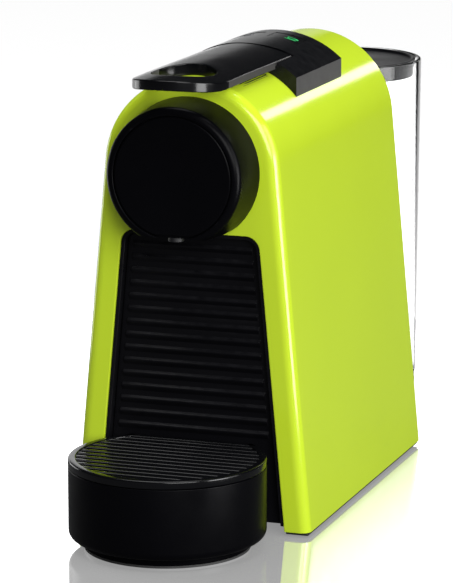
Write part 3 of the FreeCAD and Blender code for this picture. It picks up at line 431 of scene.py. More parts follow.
def body_outline(inset, low, side_steps, arch_angles):
    """x and z along the outline: up the right side, over the arch by its angles from the top, and down."""
    radius = ARCH_R - inset
    turn_z = ARCH_Z + radius * math.sin(FLARE)
    up = np.linspace(low, turn_z, side_steps, endpoint=False)
    arch_x, arch_z = radius * np.sin(arch_angles), ARCH_Z + radius * np.cos(arch_angles)
    x = np.concatenate([side_half(up, inset), arch_x, -side_half(up[::-1], inset)])
    z = np.concatenate([up, arch_z, up[::-1]])
    return x, z


def recess_outline(low, inset, top, corner, side_steps, steps):
    """The opening in the front: up the leaning side, round a corner, across, and down again."""
    lean = math.pi / 2 - FLARE
    corner_z = top - corner
    corner_x = side_half(corner_z + corner * math.sin(FLARE), inset) - corner * math.cos(FLARE)
    turn = np.linspace(math.pi / 2 - lean, math.pi / 2, 2 * steps // 5)
    right_x, right_z = corner_x + corner * np.cos(turn), corner_z + corner * np.sin(turn)
    across = np.linspace(corner_x, -corner_x, steps - 2 * len(turn) + 2)[1:-1]
    up = np.linspace(low, right_z[0], side_steps, endpoint=False)
    x = np.concatenate([side_half(up, inset), right_x, across, -right_x[::-1], -side_half(up[::-1], inset)])
    z = np.concatenate([up, right_z, np.full(len(across), top), right_z[::-1], up[::-1]])
    return x, z


print("arch radius %.2f mm about z = %.1f mm" % (ARCH_R, ARCH_Z))

# %% The sheet of the casing
SLOT_HALF, SLOT_Y = 17.4, (16.0, 50.0)
WELL_HALF, WELL_Y = 21.9, (58.5, 79.0)
STEM_HALF, STEM_Y = 12.5, (101.5, 108.5)
RECESS_INSET, RECESS_TOP, RECESS_CORNER = 11.3, 132.0, 6.5
HEAD_HOLE_R = 24.0
SIDE_STEPS = 40


def stations(marks, step):
    """Evenly spread values that include every mark, at most a step apart."""
    runs = [np.linspace(a, b, max(2, math.ceil(abs(b - a) / step) + 1))[:-1]
            for a, b in zip(marks, marks[1:])]
    return np.concatenate(runs + [np.array(marks[-1:], float)])


edge_angles = [math.asin(half / ARCH_R) for half in (WELL_HALF, SLOT_HALF, STEM_HALF)]
arch_marks = [math.pi / 2 - FLARE] + edge_angles
arch_angles = stations(arch_marks + [-a for a in arch_marks[::-1]], math.radians(3.0))
depth_stations = stations([DEPTH, *STEM_Y[::-1], *WELL_Y[::-1], *SLOT_Y[::-1], EDGE_ROUND], 8)


def casing_sheet():
    """The outline at each depth, then the quarter-round front edge, then straight lines to the recess."""
    rows = [to_frame(x, y, z) for y in depth_stations
            for x, z in [body_outline(0, shell_low.z / MM, SIDE_STEPS, arch_angles)]]
    for turn in np.linspace(0, math.pi / 2, 9)[1:]:
        inset, y = EDGE_ROUND * (1 - math.cos(turn)), EDGE_ROUND * (1 - math.sin(turn))
        x, z = body_outline(inset, shell_low.z / MM, SIDE_STEPS, arch_angles)
        rows.append(to_frame(x, y, z))
    x, z = recess_outline(shell_low.z / MM, RECESS_INSET, RECESS_TOP, RECESS_CORNER, SIDE_STEPS,
                          len(arch_angles))
    inner = to_frame(x, 0.0, z)
    outer = rows[-1]
    rows += [outer + (inner - outer) * part for part in np.linspace(0, 1, 9)[1:]]
    return np.stack(rows)


sheet = casing_sheet()
centres = (sheet[:-1, :-1] + sheet[1:, 1:]) / 2
centre_x, centre_y = np.abs(centres[..., 0]) / MM, (centres[..., 1] - FRONT) / MM
on_top = centres[..., 2] / MM > ARCH_Z
keep = np.ones(centres.shape[:2], bool)
for half, (low_y, high_y) in ((SLOT_HALF, SLOT_Y), (WELL_HALF, WELL_Y), (STEM_HALF, STEM_Y)):
    keep &= ~(on_top & (centre_x < half) & (centre_y > low_y) & (centre_y < high_y))
head_hole = np.hypot(centres[..., 0] / MM, centres[..., 2] / MM - ARCH_Z) < HEAD_HOLE_R
keep &= ~(head_hole & (centre_y < 0.01))
casing = make_piece("casing", [(sheet, False, False, keep)], "machine", "lime_gloss", 30.0,
                    sheet=(0, along(80.0), 0.1))
wall = casing.modifiers.new("wall", "SOLIDIFY")
wall.thickness = WALL * MM
wall.offset = -1.0
wall.use_even_offset = True
finish_edges(casing, 0.35 * MM)
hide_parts("outer_shell")

# %% [markdown]
# ## Parts that keep their engineering shape
# Many parts are already right, but every edge in the engineering model is perfectly sharp, and a real
# moulded edge is slightly round and catches a thin line of light. A merged copy of such a part gets a small
# bevel. The original stays untouched and hidden. The saddle's upright sides are satin with a painted sheen, a
# lighter grey that stands in for the light they catch, so their faces use a second material.


# %% Edge rounding on merged copies
def edge_rounded(node_name, name, body, width_mm, slot, segments=2, angle_deg=30.0):
    """A merged copy of a part, with its sharp edges rounded by a bevel of the given width."""
    source = frame["nodes"][node_name]
    mesh = source.data.copy()
    mesh.name = name
    work = bmesh.new()
    work.from_mesh(mesh)
    bmesh.ops.remove_doubles(work, verts=work.verts, dist=1e-6)
    bmesh.ops.dissolve_degenerate(work, edges=work.edges, dist=1e-7)
    bmesh.ops.dissolve_limit(work, angle_limit=math.radians(0.5), verts=work.verts, edges=work.edges)
    work.to_mesh(mesh)
    work.free()
    mesh.shade_smooth()
    mesh.set_sharp_from_angle(angle=math.radians(angle_deg))
    piece = bpy.data.objects.new(name, mesh)
    bpy.context.collection.objects.link(piece)
    finish_edges(piece, width_mm * MM, angle_deg, segments)
    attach(piece, body)
    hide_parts(node_name)
    mesh.materials.clear()
    mesh.materials.append(finishes[slot])
    print("%-18s %6d faces" % (name, len(mesh.polygons)))
    return piece


def sides_with_painted_sheen(piece, front_y_mm):
    """Give the upright side faces behind front_y_mm a second slot: satin, with a painted sheen of lighter
    grey.
    """
    mesh = piece.data
    mesh.materials.append(finishes["satin_painted_sheen"])
    normals = np.empty(len(mesh.polygons) * 3, np.float32)
    centres = np.empty(len(mesh.polygons) * 3, np.float32)
    mesh.polygons.foreach_get("normal", normals)
    mesh.polygons.foreach_get("center", centres)
    sideways = np.abs(normals.reshape(-1, 3)[:, 0]) > 0.95
    behind = centres.reshape(-1, 3)[:, 1] > along(front_y_mm)
    mesh.polygons.foreach_set("material_index", (sideways & behind).astype(np.int32))
    mesh.update()
    print("%-18s %6d satin side faces" % (piece.name, (sideways & behind).sum()))


# The saddle's upright sides get the painted sheen: a lighter grey that stands in for light from the right.
sides_with_painted_sheen(edge_rounded("control_saddle", "saddle", "machine", 0.45, "black_gloss", 3), 0.0)
for node_name, name, body, width_mm, slot in [
        ("front_frame", "recess_lining", "machine", 0.3, "black_satin"),
        ("drawer_front", "ribbed_panel", "drawer", 0.28, "black_satin"),
        ("coffee_spout", "spout", "machine", 0.3, "black_structure"),
        ("tank_platform", "tank_foot", "machine", 0.4, "black_structure"),
        ("button_espresso", "cap_one_cup", "button_espresso", 0.35, "black_gloss"),
        ("button_lungo", "cap_long_cup", "button_lungo", 0.35, "black_gloss"),
        ("rear_cover", "rear_panel", "machine", 0.4, "black_structure"),
        ("base_plate", "floor_plate", "machine", 0.3, "black_structure")]:
    edge_rounded(node_name, name, body, width_mm, slot)

# %% [markdown]
# ## Brewing head
# The round black head is a turned shape: a nearly straight wall, a generous front edge and a shallow ring
# round the face plate. Its underside is cut flat, and the cut rises towards the casing, so the turned solid
# is sliced by two planes and the openings are filled.

# %% Turned solids and flat cuts
HEAD_BACK_R, HEAD_FRONT_R, HEAD_FRONT_Y, HEAD_BACK_Y = 32.1, 30.2, -22.0, 0.6
HEAD_LOW_Z, RISE_Y, RISE = 133.5, -7.0, math.radians(20.0)
FACE_R, FACE_GAP, FACE_LIFT = 26.5, 0.35, 1.5
SEAT_Y, FACE_EDGE_Y, FACE_MIDDLE_Y = HEAD_FRONT_Y + 1.9, HEAD_FRONT_Y + 0.15, HEAD_FRONT_Y - 0.05


def slice_piece(piece, point_mm, normal):
    """Remove what lies on the normal's side of a plane, and fill the cut."""
    work = bmesh.new()
    work.from_mesh(piece.data)
    place = Vector((point_mm[0] * MM, along(point_mm[1]), point_mm[2] * MM))
    every = work.verts[:] + work.edges[:] + work.faces[:]
    cut = bmesh.ops.bisect_plane(work, geom=every, plane_co=place, plane_no=normal, clear_outer=True,
                                 dist=1e-7)
    edges = [item for item in cut["geom_cut"] if isinstance(item, bmesh.types.BMEdge)]
    bmesh.ops.holes_fill(work, edges=edges, sides=0)
    work.to_mesh(piece.data)
    work.free()
    piece.data.set_sharp_from_angle(angle=math.radians(32))
    return piece


arch_centre = (0, FRONT, ARCH_Z * MM)
head_profile = rounded([(0, HEAD_BACK_Y), (HEAD_BACK_R, HEAD_BACK_Y), (HEAD_BACK_R, 0.0),
                        (HEAD_FRONT_R, HEAD_FRONT_Y), (FACE_R + FACE_GAP, HEAD_FRONT_Y),
                        (FACE_R + FACE_GAP, SEAT_Y), (0, SEAT_Y)], [0, 0, 3.0, 0.25, 0, 0], 10)
head = make_piece("brewing_head", [turned(head_profile, arch_centre, "Y")], "machine", "black_satin")
slice_piece(head, (0, 0, HEAD_LOW_Z), (0, 0, -1))
slice_piece(head, (0, RISE_Y, HEAD_LOW_Z), (0, math.sin(RISE), -math.cos(RISE)))
finish_edges(head, 0.4 * MM, 40)
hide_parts("brew_head_cover")

face_profile = rounded([(0, SEAT_Y), (FACE_R, SEAT_Y), (FACE_R, FACE_EDGE_Y), (FACE_R - 2.2, FACE_EDGE_Y),
                        (0, FACE_MIDDLE_Y)], [0, 0.9, 0], 8)
face = make_piece("head_face", [turned(face_profile, arch_centre, "Y")], "machine", "black_satin", 50)
slice_piece(face, (0, 0, HEAD_LOW_Z + FACE_LIFT), (0, 0, -1))
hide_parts("brew_head_face")
for piece in (head, face):
    piece.data.materials[0] = finishes["black_matt"]

# %% [markdown]
# ## Drip tray and cup stand
# The tray is a turned cup with a well rounded lower edge, standing on a smaller foot. The cup stand on top
# is a rim that is cut straight at the back, with slats across it. A slat is a rounded bar, and all the slats
# are one calculation: each is as long as the circle allows at its own place.

# %% Drip tray
tray_low, tray_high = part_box("drip_base")
stand_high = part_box("drip_grille")[1]
TRAY_R = tray_high.x / MM
TRAY_Y = (tray_low.y - FRONT) / MM + TRAY_R
TRAY_TOP, STAND_TOP = tray_high.z / MM, stand_high.z / MM
STAND_BACK = (stand_high.y - FRONT) / MM
FOOT_R, FOOT_WALL, FOOT_LOW, FOOT_TOP, FOOT_ROOF = 36.0, 3, 1.0, 4.5, 5.3
TRAY_WALL, TRAY_FLOOR = 2.2, FOOT_TOP + 3

tray_centre = (0, along(TRAY_Y), 0)
tray_profile = rounded([(0, FOOT_ROOF), (FOOT_R - FOOT_WALL, FOOT_ROOF), (FOOT_R - FOOT_WALL, FOOT_LOW),
                        (FOOT_R, FOOT_LOW), (FOOT_R, FOOT_TOP), (TRAY_R, FOOT_TOP), (TRAY_R, TRAY_TOP),
                        (TRAY_R - TRAY_WALL, TRAY_TOP), (TRAY_R - TRAY_WALL, TRAY_FLOOR), (0, TRAY_FLOOR)],
                       [0, 0.2, 0.5, 0.5, 3.6, 0.35, 0.35, 1.5], 8)
tray = make_piece("drip_tray", [turned(tray_profile, tray_centre)], "drawer", "black_satin")
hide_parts("drip_base")
tray.data.materials[0] = finishes["black_matt"]

# %% Cup stand
RIM_WIDE, SLAT_PITCH, SLAT_WIDE = 3.4, 5.4, 2.9
STAND_GAP, SLAT_DROP, SLAT_REACH, BAR_INSET = 0.35, 0.3, 0.4, 0.9
STAND_LOW, RIM_INNER = TRAY_TOP + STAND_GAP, TRAY_R - RIM_WIDE
ring_profile = rounded([(RIM_INNER, STAND_LOW), (TRAY_R, STAND_LOW), (TRAY_R, STAND_TOP),
                        (RIM_INNER, STAND_TOP), (RIM_INNER, STAND_LOW)], [0.3, 0.9, 0.5], 6)
stand = make_piece("cup_stand_rim", [turned(ring_profile, tray_centre)], "grille", "black_satin")
slice_piece(stand, (0, STAND_BACK, 0), (0, 1, 0))


def rounded_bar_section(width, low, top, radius, steps=4):
    """Offsets and heights round a bar: flat below, straight sides and two round upper corners."""
    turn = np.linspace(0, math.pi / 2, steps + 1)
    right = width / 2 - radius + radius * np.cos(turn)
    height = top - radius + radius * np.sin(turn)
    offset = np.concatenate([[width / 2], right, -right[::-1], [-width / 2]])
    return offset, np.concatenate([[low], height, height[::-1], [low]])


def slats():
    """Bars along x, a pitch apart in y; each follows the rim's inner circle and reaches a little into it."""
    offset, height = rounded_bar_section(SLAT_WIDE, STAND_LOW, STAND_TOP - SLAT_DROP, 0.9)
    grids = []
    for step in range(-7, 6):
        y = TRAY_Y + step * SLAT_PITCH + offset
        reach = np.sqrt((RIM_INNER + SLAT_REACH) ** 2 - (y - TRAY_Y) ** 2)
        part = np.linspace(-1, 1, 13)[:, None]
        grids.append((to_frame(part * reach, y[None, :], height[None, :]), False, True))
    return grids


slat_rows = make_piece("cup_stand_slats", slats(), "grille", "black_satin", 40)
bar_offset, bar_height = rounded_bar_section(RIM_WIDE, STAND_LOW, STAND_TOP, 0.6)
bar_y = STAND_BACK - RIM_WIDE / 2 + bar_offset
bar_reach = np.sqrt((TRAY_R - BAR_INSET) ** 2 - (bar_y - TRAY_Y) ** 2)
bar_part = np.linspace(-1, 1, 9)[:, None]
bar_grid = to_frame(bar_part * bar_reach, bar_y[None, :], bar_height[None, :])
back_bar = make_piece("cup_stand_back", [(bar_grid, False, True)], "grille", "black_satin", 40)
for piece in (stand, slat_rows, back_bar):
    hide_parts("drip_grille")
    piece.data.materials[0] = finishes["black_gloss"]

# %% [markdown]
# ## Lever
# The lever is a thin crowned strap with a finger hole. Its top is a height function: almost level along
# the middle, dipping at the tip, and rounded from side to side. Two grids share this function: one runs
# round the hole out to the edge, the other covers the straight part behind it. The sheet is then made
# solid with a depth of its own at each place: a thicker lip at the tip, and a fuller middle behind it, so
# that the underside is flatter than the top. A bevel rounds the rims, which is what makes the polished
# edge shine.

# %% Lever strap
STRAP_HALF, STRAP_THICK, TIP_LIP = 21.0, 3.4, 0.9
TIP_Y, STRAIGHT_Y, JOIN_Y, REAR_Y = -32.4, -8.1, 20.0, 77.0
HOLE_Y, HOLE_HALF_X, HOLE_HALF_Y = -6.0, 13.9, 15.0
SLOPE, TIP_DIP, TIP_CROWN, CROWN_GROWTH, BELLY = 0.5, 2.1, 1.3, 4.0, 2.0
HINGE_Y, HINGE_Z, TAIL_Z = 66.0, 194.5, 200.7
TAIL_R = math.hypot(REAR_Y - HINGE_Y, TAIL_Z - HINGE_Z)
STRAP_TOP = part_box("lever_strap")[1].z / MM


def strap_height(x, y):
    """Height of the strap's top: a slight rise, a dip at the tip, minus a crown that grows rearward."""
    share = np.clip((y - TIP_Y) / (REAR_Y - TIP_Y), 1e-6, 1)
    middle = STRAP_TOP - SLOPE * (1 - share) - TIP_DIP * (1 - share) ** 4
    crown = TIP_CROWN + CROWN_GROWTH * share ** 0.3
    return middle - crown * (x / STRAP_HALF) ** 2


def strap_depth(x, y):
    """Thickness of the strap: a lip at the tip, and a belly along the middle of the part behind it."""
    share = np.clip((STRAIGHT_Y - y) / (STRAIGHT_Y - TIP_Y), 0, 1)
    belly = BELLY * (1 - share) * np.clip(1 - (x / STRAP_HALF) ** 2, 0, 1)
    return STRAP_THICK + TIP_LIP * share + belly


def strap_reach(angle):
    """Distance from the middle of the hole to the strap's outline: side, rounded tip, or the join line."""
    across, back = np.sin(angle), np.cos(angle)
    tip_depth = STRAIGHT_Y - TIP_Y
    a = (across / STRAP_HALF) ** 2 + (back / tip_depth) ** 2
    b = 2 * back * (HOLE_Y - STRAIGHT_Y) / tip_depth ** 2
    c = ((HOLE_Y - STRAIGHT_Y) / tip_depth) ** 2 - 1
    to_tip = (-b + np.sqrt(b ** 2 - 4 * a * c)) / (2 * a)
    to_side = STRAP_HALF / np.maximum(np.abs(across), 1e-6)
    to_join = np.where(back > 1e-6, (JOIN_Y - HOLE_Y) / np.maximum(back, 1e-6), np.inf)
    return np.where(HOLE_Y + to_tip * back < STRAIGHT_Y, to_tip, np.minimum(to_side, to_join))


corner_angle = math.atan2(STRAP_HALF, JOIN_Y - HOLE_Y)
rear_angles = np.linspace(-corner_angle, corner_angle, 25)
front_angles = np.linspace(corner_angle, 2 * math.pi - corner_angle, 120)[1:-1]
round_angles = np.concatenate([rear_angles, front_angles])[:, None]
part = np.linspace(0, 1, 13)[None, :]
rim_distance = 1 / np.sqrt((np.sin(round_angles) / HOLE_HALF_X) ** 2
                           + (np.cos(round_angles) / HOLE_HALF_Y) ** 2)
distance = rim_distance + (strap_reach(round_angles) - rim_distance) * part
hole_x, hole_y = distance * np.sin(round_angles), HOLE_Y + distance * np.cos(round_angles)
around_hole = to_frame(hole_x, hole_y, strap_height(hole_x, hole_y))

rear_x = ((JOIN_Y - HOLE_Y) * np.tan(rear_angles))[:, None]
tail_y = np.full_like(rear_x, REAR_Y)
for _ in range(12):  # the tail is round about the hinge, and its height depends on where it ends
    tail_y = HINGE_Y + np.sqrt(TAIL_R ** 2 - (strap_height(rear_x, tail_y) - HINGE_Z) ** 2)
rear_y = JOIN_Y + (tail_y - JOIN_Y) * np.linspace(0, 1, 31)[None, :]
behind_hole = to_frame(rear_x, rear_y, strap_height(rear_x, rear_y))
strap = make_piece("lever_strap_skin", [(around_hole, True, False), (behind_hole, False, False)], "lever",
                   "black_gloss", 30.0, sheet=(0, along(20.0), 0.0))


def give_depth(piece, depth):
    """Make a sheet solid: join a copy of it all round, and lower the copy by a depth that follows x and y."""
    work = bmesh.new()
    work.from_mesh(piece.data)
    count = len(work.verts)
    bmesh.ops.extrude_face_region(work, geom=work.faces[:], use_keep_orig=True)
    work.to_mesh(piece.data)
    work.free()
    points = np.empty(len(piece.data.vertices) * 3, np.float32)
    piece.data.vertices.foreach_get("co", points)
    points = points.reshape(-1, 3)
    points[:count, 2] -= depth(points[:count, 0] / MM, (points[:count, 1] - FRONT) / MM) * MM
    piece.data.vertices.foreach_set("co", points.ravel())
    work = bmesh.new()
    work.from_mesh(piece.data)
    bmesh.ops.recalc_face_normals(work, faces=work.faces)
    work.to_mesh(piece.data)
    work.free()
    piece.data.set_sharp_from_angle(angle=math.radians(35))


give_depth(strap, strap_depth)
# The lever's straight sides get the same painted sheen: a lighter grey that stands in for light from the
# right.
sides_with_painted_sheen(strap, STRAIGHT_Y)
finish_edges(strap, 0.5 * MM, 45, 4)
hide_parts("lever_strap")

# %% [markdown]
# ## Water tank and its lid
# The tank is a round vessel with a flat front, where it stands against the casing. Each level of it is one
# closed line: a big arc, two small corner arcs and a flat. The wall is a real one, with an outer and an
# inner side, because light bends at both and that is what shows as the thick clear edge.

# %% Tank
tank_low, tank_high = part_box("water_tank")
TANK_TOP, TANK_LOW = tank_high.z / MM, tank_low.z / MM
TANK_FLAT = (tank_low.y - FRONT) / MM
TANK_TOP_R, TANK_TAPER, TANK_CORNER = 41.0, 1.5 / 156.7, 9.0
TANK_Y = (tank_high.y - FRONT) / MM - TANK_TOP_R


def tank_line(inset, z, steps=(6, 8, 90)):
    """Closed lines of the tank: a big arc with a flat front and round corners, all moved inward by inset."""
    inset, z = np.atleast_1d(inset).astype(float)[:, None], np.atleast_1d(z).astype(float)[:, None]
    radius = TANK_TOP_R - (TANK_TOP - z) * TANK_TAPER - inset
    flat = TANK_FLAT + inset
    corner = np.maximum(TANK_CORNER - inset, 3.0)
    drop = flat + corner - TANK_Y
    corner_x = np.sqrt((radius - corner) ** 2 - drop ** 2)
    meet = np.arctan2(drop, corner_x)
    straight, turning, arc = (np.linspace(0, 1, count, endpoint=False)[None, :] for count in steps)
    flat_x = corner_x * straight
    turn = -np.pi / 2 + (meet + np.pi / 2) * turning
    right_x, right_y = corner_x + corner * np.cos(turn), flat + corner + corner * np.sin(turn)
    sweep = meet + (np.pi - 2 * meet) * arc
    back_x, back_y = radius * np.cos(sweep), TANK_Y + radius * np.sin(sweep)
    turn = np.pi - meet + (meet + np.pi / 2) * turning
    left_x, left_y = -corner_x + corner * np.cos(turn), flat + corner + corner * np.sin(turn)
    x = np.concatenate([flat_x, right_x, back_x, left_x, -corner_x * (1 - straight)], axis=1)
    y = np.concatenate([flat + 0 * flat_x, right_y, back_y, left_y, flat + 0 * flat_x], axis=1)
    return to_frame(x, y, z + 0 * x)


def to_circle(line, radius, z, shares):
    """Rows that run from a tank line to a small circle on the tank's axis, all at one height."""
    middle = np.array([0.0, along(TANK_Y), 0.0])
    offset = line - middle
    turn = np.arctan2(offset[:, 1], offset[:, 0])
    small = np.stack([radius * MM * np.cos(turn), radius * MM * np.sin(turn), np.full(len(turn), z * MM)], -1)
    start = np.concatenate([offset[:, :2], np.full((len(turn), 1), z * MM)], axis=1)
    shares = np.asarray(shares)[:, None, None]
    return start * (1 - shares) + small * shares + middle


TANK_WALL, TANK_FLOOR, VALVE_R = 2.4, TANK_LOW + 2.5, 5.0
outer_profile = rounded([(6, TANK_LOW), (0, TANK_LOW), (0, TANK_TOP), (TANK_WALL, TANK_TOP),
                         (TANK_WALL, TANK_FLOOR), (8, TANK_FLOOR)], [1.8, 0.9, 0.9, 2.0], 7)
tall = tank_line(outer_profile[:, 0], outer_profile[:, 1])
shares = np.linspace(0, 1, 6)[1:]
under = to_circle(tall[0], VALVE_R, TANK_LOW, shares)[::-1]
inside = to_circle(tall[-1], VALVE_R, TANK_FLOOR, shares)
tank_rows = np.concatenate([under, tall, inside])
tank = make_piece("tank_vessel", [(tank_rows, True, True)], "tank", "clear_tank", 35.0)
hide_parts("water_tank")

# %% Tank lid
LID_INSET, DECK, LID_UNDER = TANK_WALL + 0.4, TANK_TOP - 1.0, TANK_TOP - 3.2
RIM_INSET, SKIRT_INSET, SKIRT_LOW = LID_INSET + 2.0, LID_INSET + 0.5, LID_UNDER - 4.8
NOTCH_X, NOTCH_Y = (-14, -7), 30

lid_profile = rounded([(7, DECK), (RIM_INSET, DECK), (RIM_INSET, TANK_TOP), (LID_INSET, TANK_TOP),
                       (LID_INSET, LID_UNDER), (SKIRT_INSET, LID_UNDER), (SKIRT_INSET, SKIRT_LOW),
                       (RIM_INSET, SKIRT_LOW), (RIM_INSET, LID_UNDER), (7, LID_UNDER)],
                      [0.3, 0.35, 0.5, 0.3, 0.1, 0.3, 0.3, 0.4], 4)
lid_rows = tank_line(lid_profile[:, 0], lid_profile[:, 1])
lid_x, lid_y, lid_z = np.moveaxis(lid_rows, -1, 0)
notch = (lid_x > NOTCH_X[0] * MM) & (lid_x < NOTCH_X[1] * MM) & (lid_y > along(TANK_Y + NOTCH_Y))
lid_rows[..., 2] = np.where(notch, np.minimum(lid_z, DECK * MM), lid_z)
lid_shares = np.linspace(0, 1, 8)[1:]
lid_top = to_circle(lid_rows[0], 0.0, DECK, lid_shares)[::-1]
lid_below = to_circle(lid_rows[-1], 0.0, LID_UNDER, lid_shares)
lid_rows = np.concatenate([lid_top, lid_rows, lid_below])
lid = make_piece("tank_cover", [(lid_rows, False, True)], "tank_lid", "black_satin", 35.0)
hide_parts("tank_lid")

# %% [markdown]
# ## Signs on the buttons
# Each button carries a small cup sign: a generic line drawing of a bowl, a handle and a saucer, laid on the
# crowned cap as thin raised ribbons. The sign for the long coffee is lit green. The other one is off, and
# only its dark grey lines show.

# %% Cup signs
saddle_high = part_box("control_saddle")[1]
SADDLE_HALF, SADDLE_TOP, SADDLE_SIDE = saddle_high.x / MM, saddle_high.z / MM, 193.6
CAP_STEP, LINE_HALF, LINE_SUNK = 0.15, 0.22, -0.05
crown_drop = SADDLE_TOP - SADDLE_SIDE
SADDLE_R = (SADDLE_HALF ** 2 + crown_drop ** 2) / (2 * crown_drop)


def cap_height(x):
    """Height of a button cap: the saddle's circular crown, lowered by the cap's small step."""
    return SADDLE_TOP - SADDLE_R + np.sqrt(SADDLE_R ** 2 - x ** 2) - CAP_STEP


def ribbon(x, y, half_width, raised=0.07):
    """A thin raised band along a line: its four-sided section is carried along the line, on the crown."""
    step_x, step_y = np.gradient(x), np.gradient(y)
    length = np.hypot(step_x, step_y)
    side_x, side_y = -step_y / length * half_width, step_x / length * half_width
    left_x, left_y, right_x, right_y = x + side_x, y + side_y, x - side_x, y - side_y
    corner_x = np.stack([left_x, left_x, right_x, right_x], axis=1)
    corner_y = np.stack([left_y, left_y, right_y, right_y], axis=1)
    lift = np.array([LINE_SUNK, raised, raised, LINE_SUNK])[None, :]
    return to_frame(corner_x, corner_y, cap_height(corner_x) + lift), False, True


def cup_sign(name, body, centre_x, centre_y, scale, slot, material):
    """A cup in side view: a bowl open at the top, a brim line, a handle arc and a saucer line."""
    turn = np.linspace(0, np.pi, 25)
    bowl_x = np.concatenate([[2.2], 1.7 * np.cos(turn), [-2.2]])
    bowl_y = np.concatenate([[1.6], -0.7 - 1.1 * np.sin(turn), [1.6]])
    handle = np.linspace(-np.pi / 2, np.pi / 2, 15)
    lines = [(bowl_x, bowl_y), (np.linspace(-2.2, 2.2, 9), np.full(9, 1.6)),
             (2.0 + 1.0 * np.cos(handle), 0.4 + 0.8 * np.sin(handle)),
             (np.linspace(-2.8, 2.8, 9), np.full(9, -2.6))]
    bands = [ribbon(centre_x + scale * x, centre_y + scale * y, LINE_HALF) for x, y in lines]
    sign = make_piece(name, bands, body, slot, 30.0)
    sign.data.materials[0] = material
    return sign


sign_lit = surface("sign_lit", (0.01, 0.35, 0.08), (0.3, 0.4), 500.0, 0.00002, 0.1, Emission_Strength=0.35)
lit_tree = sign_lit.node_tree
lit_place = lit_tree.nodes.new("ShaderNodeTexCoord").outputs["Object"]
glow = mixed_colour(lit_tree, noise(lit_tree, lit_place, 600.0, 2.0),
                    (0.0, 0.25, 0.05, 1), (0.01, 0.50, 0.14, 1))
feed(lit_tree, lit_tree.nodes["Principled BSDF"], {"Emission Color": glow})
sign_plain = surface("sign_plain", (0.10, 0.10, 0.11), (0.35, 0.45), 500.0, 0.00002, 0.1)
cup_sign("sign_long_cup", "button_lungo", 12.0, 105.0, 0.95, "black_gloss", sign_lit)
cup_sign("sign_one_cup", "button_espresso", -9.5, 105.0, 0.95, "black_gloss", sign_plain)

# %% [markdown]
# ## Studio
# The surroundings are white where the camera sees them: directly, through the clear tank, or mirrored in
# the polished floor. For all other light they are nearly black, so the dark glossy parts reflect only the
# lights. Four soft lights do most of the work. Five accents are there for their reflections alone, such as
# the bright line along the shoulder and the thin ones on the front edges: for those, `mirrored` finds the
# place from which a light shows in a chosen spot. The camera sees none of the lights themselves.

# %% World and floor
WORLD_DIM, FLOOR_GLOW, FLOOR_POLISH = 0.02, 0.82, 0.68


def seen_or_through(tree, mirrors=False):
    """A value of 1 for what is seen directly or through clear plastic, and 0 for all other light.

    With mirrors, it is also 1 for what a perfectly sharp mirror shows, which here is the polished floor.
    """
    path = tree.nodes.new("ShaderNodeLightPath").outputs
    value = calculated(tree, "MAXIMUM", path["Is Camera Ray"], path["Transmission Depth"], clamp=True)
    return calculated(tree, "MAXIMUM", value, path["Is Singular Ray"], clamp=True) if mirrors else value


def mixed_shader(tree, factor, first, second):
    """The first shader where the factor is 0, and the second where it is 1."""
    mix = tree.nodes.new("ShaderNodeMixShader")
    feed(tree, mix, {"Fac": factor, 1: first, 2: second})
    return mix.outputs["Shader"]


def studio_world():
    """White where it is seen directly, through the tank or in the floor, and dim everywhere else."""
    world = bpy.data.worlds.new("studio")
    world.use_nodes = True
    tree = world.node_tree
    dim, seen = tree.nodes["Background"], tree.nodes.new("ShaderNodeBackground")
    feed(tree, dim, {"Color": (0.93, 0.97, 1.0, 1), "Strength": WORLD_DIM})
    feed(tree, seen, {"Color": (1, 1, 1, 1)})
    both = mixed_shader(tree, seen_or_through(tree, mirrors=True), dim.outputs["Background"],
                        seen.outputs["Background"])
    feed(tree, tree.nodes["World Output"], {"Surface": both})
    return world


bpy.context.scene.world = studio_world()
bpy.context.scene.view_settings.view_transform = "Standard"

HALF_FLOOR = 6.0  # metres
floor_mesh = bpy.data.meshes.new("floor")
floor_corners = [(-HALF_FLOOR, -HALF_FLOOR, 0), (HALF_FLOOR, -HALF_FLOOR, 0),
                 (HALF_FLOOR, HALF_FLOOR, 0), (-HALF_FLOOR, HALF_FLOOR, 0)]
floor_mesh.from_pydata(floor_corners, [], [(0, 1, 2, 3)])
floor = bpy.data.objects.new("floor", floor_mesh)
bpy.context.collection.objects.link(floor)


def floor_material():
    """A polished white floor that glows, and is dark where other surfaces reflect it or take its light."""
    material = bpy.data.materials.new("floor")
    material.use_nodes = True
    tree = material.node_tree
    matt, polish, reflected = (tree.nodes["Principled BSDF"], tree.nodes.new("ShaderNodeBsdfGlossy"),
                               tree.nodes.new("ShaderNodeBsdfDiffuse"))
    feed(tree, matt, {"Base Color": (0.30, 0.30, 0.30, 1), "Roughness": 0.6, "Specular IOR Level": 0.0,
                      "Emission Color": (1, 1, 1, 1), "Emission Strength": FLOOR_GLOW})
    feed(tree, polish, {"Color": (1, 1, 1, 1), "Roughness": 0.0})
    feed(tree, reflected, {"Color": (0.11, 0.11, 0.115, 1)})
    seen = mixed_shader(tree, FLOOR_POLISH, matt.outputs["BSDF"], polish.outputs["BSDF"])
    both = mixed_shader(tree, seen_or_through(tree), reflected.outputs["BSDF"], seen)
    feed(tree, tree.nodes["Material Output"], {"Surface": both})
    return material


floor_mesh.materials.append(floor_material())
print("floor", 2 * HALF_FLOOR, "m square, world", WORLD_DIM, "where it is not seen")

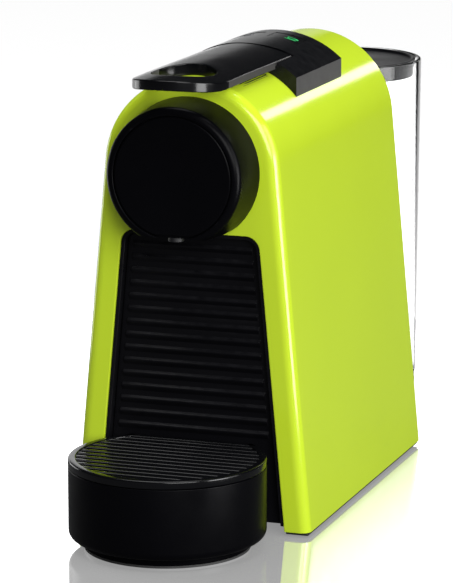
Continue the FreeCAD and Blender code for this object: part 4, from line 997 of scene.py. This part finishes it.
# %% Lights
def area_light(name, place, aim, size, power, size_y=None, side=None):
    """A rectangular light that faces aim. Its width runs along side, or level when no side is given."""
    light = bpy.data.lights.new(name, "AREA")
    light.shape = "RECTANGLE"
    light.size = size
    light.size_y = size_y or size
    light.energy = power
    lamp = bpy.data.objects.new(name, light)
    lamp.location = place
    back = (Vector(place) - Vector(aim)).normalized()
    across = Vector(side) if side else Vector((0, 0, 1)).cross(back)
    across = (across - back * across.dot(back)).normalized()
    lamp.rotation_euler = Matrix((across, back.cross(across), back)).transposed().to_euler()
    bpy.context.collection.objects.link(lamp)
    return lamp


def mirrored(point, normal, distance):
    """Where to put a light so that the camera sees its mirror image at a point with this normal."""
    point, normal = Vector(point), Vector(normal).normalized()
    sight = (point - camera.location).normalized()
    return point + (sight - 2 * sight.dot(normal) * normal) * distance


middle = (0.0, along(60.0), 0.12)
main_lights = [area_light("key_right", (1.65, along(-100), 0.60), middle, 1.3, 21.0, 1.2),
               area_light("top_soft", (-0.1, along(-100), 1.7), middle, 1.3, 24.0),
               area_light("front_soft", (1.1, along(-1500), 0.8), middle, 1.2, 38.0),
               area_light("left_fill", (-1.5, along(500), 0.8), middle, 1.2, 14.0)]
main_lights[-1].visible_glossy = False

BAND_TURN, BAND_DISTANCE = math.radians(53.0), 1.5
EDGE_Z, EDGE_INSET, EDGE_DISTANCE = 130, 1.4, 0.45
band_normal = (math.sin(BAND_TURN), 0, math.cos(BAND_TURN))
band_front, band_rear = (tuple(to_frame(ARCH_R * band_normal[0], y, ARCH_Z + ARCH_R * band_normal[2]))
                         for y in (0.0, DEPTH))
strip_front, strip_rear = (mirrored(point, band_normal, BAND_DISTANCE) for point in (band_front, band_rear))
right_edge, left_edge = (tuple(to_frame(side * side_half(EDGE_Z, EDGE_INSET), EDGE_INSET, EDGE_Z))
                         for side in (1, -1))
accents = [area_light("shoulder_strip", (strip_front + strip_rear) / 2, band_front, 0.50, 0.8, 0.11,
                      side=strip_front - strip_rear),
           area_light("right_edge_strip", mirrored(right_edge, (0.72, -0.69, 0.06), EDGE_DISTANCE),
                      right_edge, 0.20, 2.4, 0.26),
           area_light("left_edge_strip", mirrored(left_edge, (-0.70, -0.71, 0.06), EDGE_DISTANCE),
                      left_edge, 0.20, 0.5, 0.26),
           area_light("white_card", (-0.35, 0.35, 0.10), (-0.35, 0.0, 0.10), 0.9, 0.56, 0.20),
           area_light("lever_glow", (-0.50, 0.80, 0.29), (-0.50, 0.0, 0.29), 0.7, 0.18, 0.18)]
for lamp in accents:
    lamp.visible_diffuse = False
for lamp in main_lights + accents:
    lamp.visible_camera = False
print("lights:", len(main_lights), "soft ones and", len(accents), "accents")
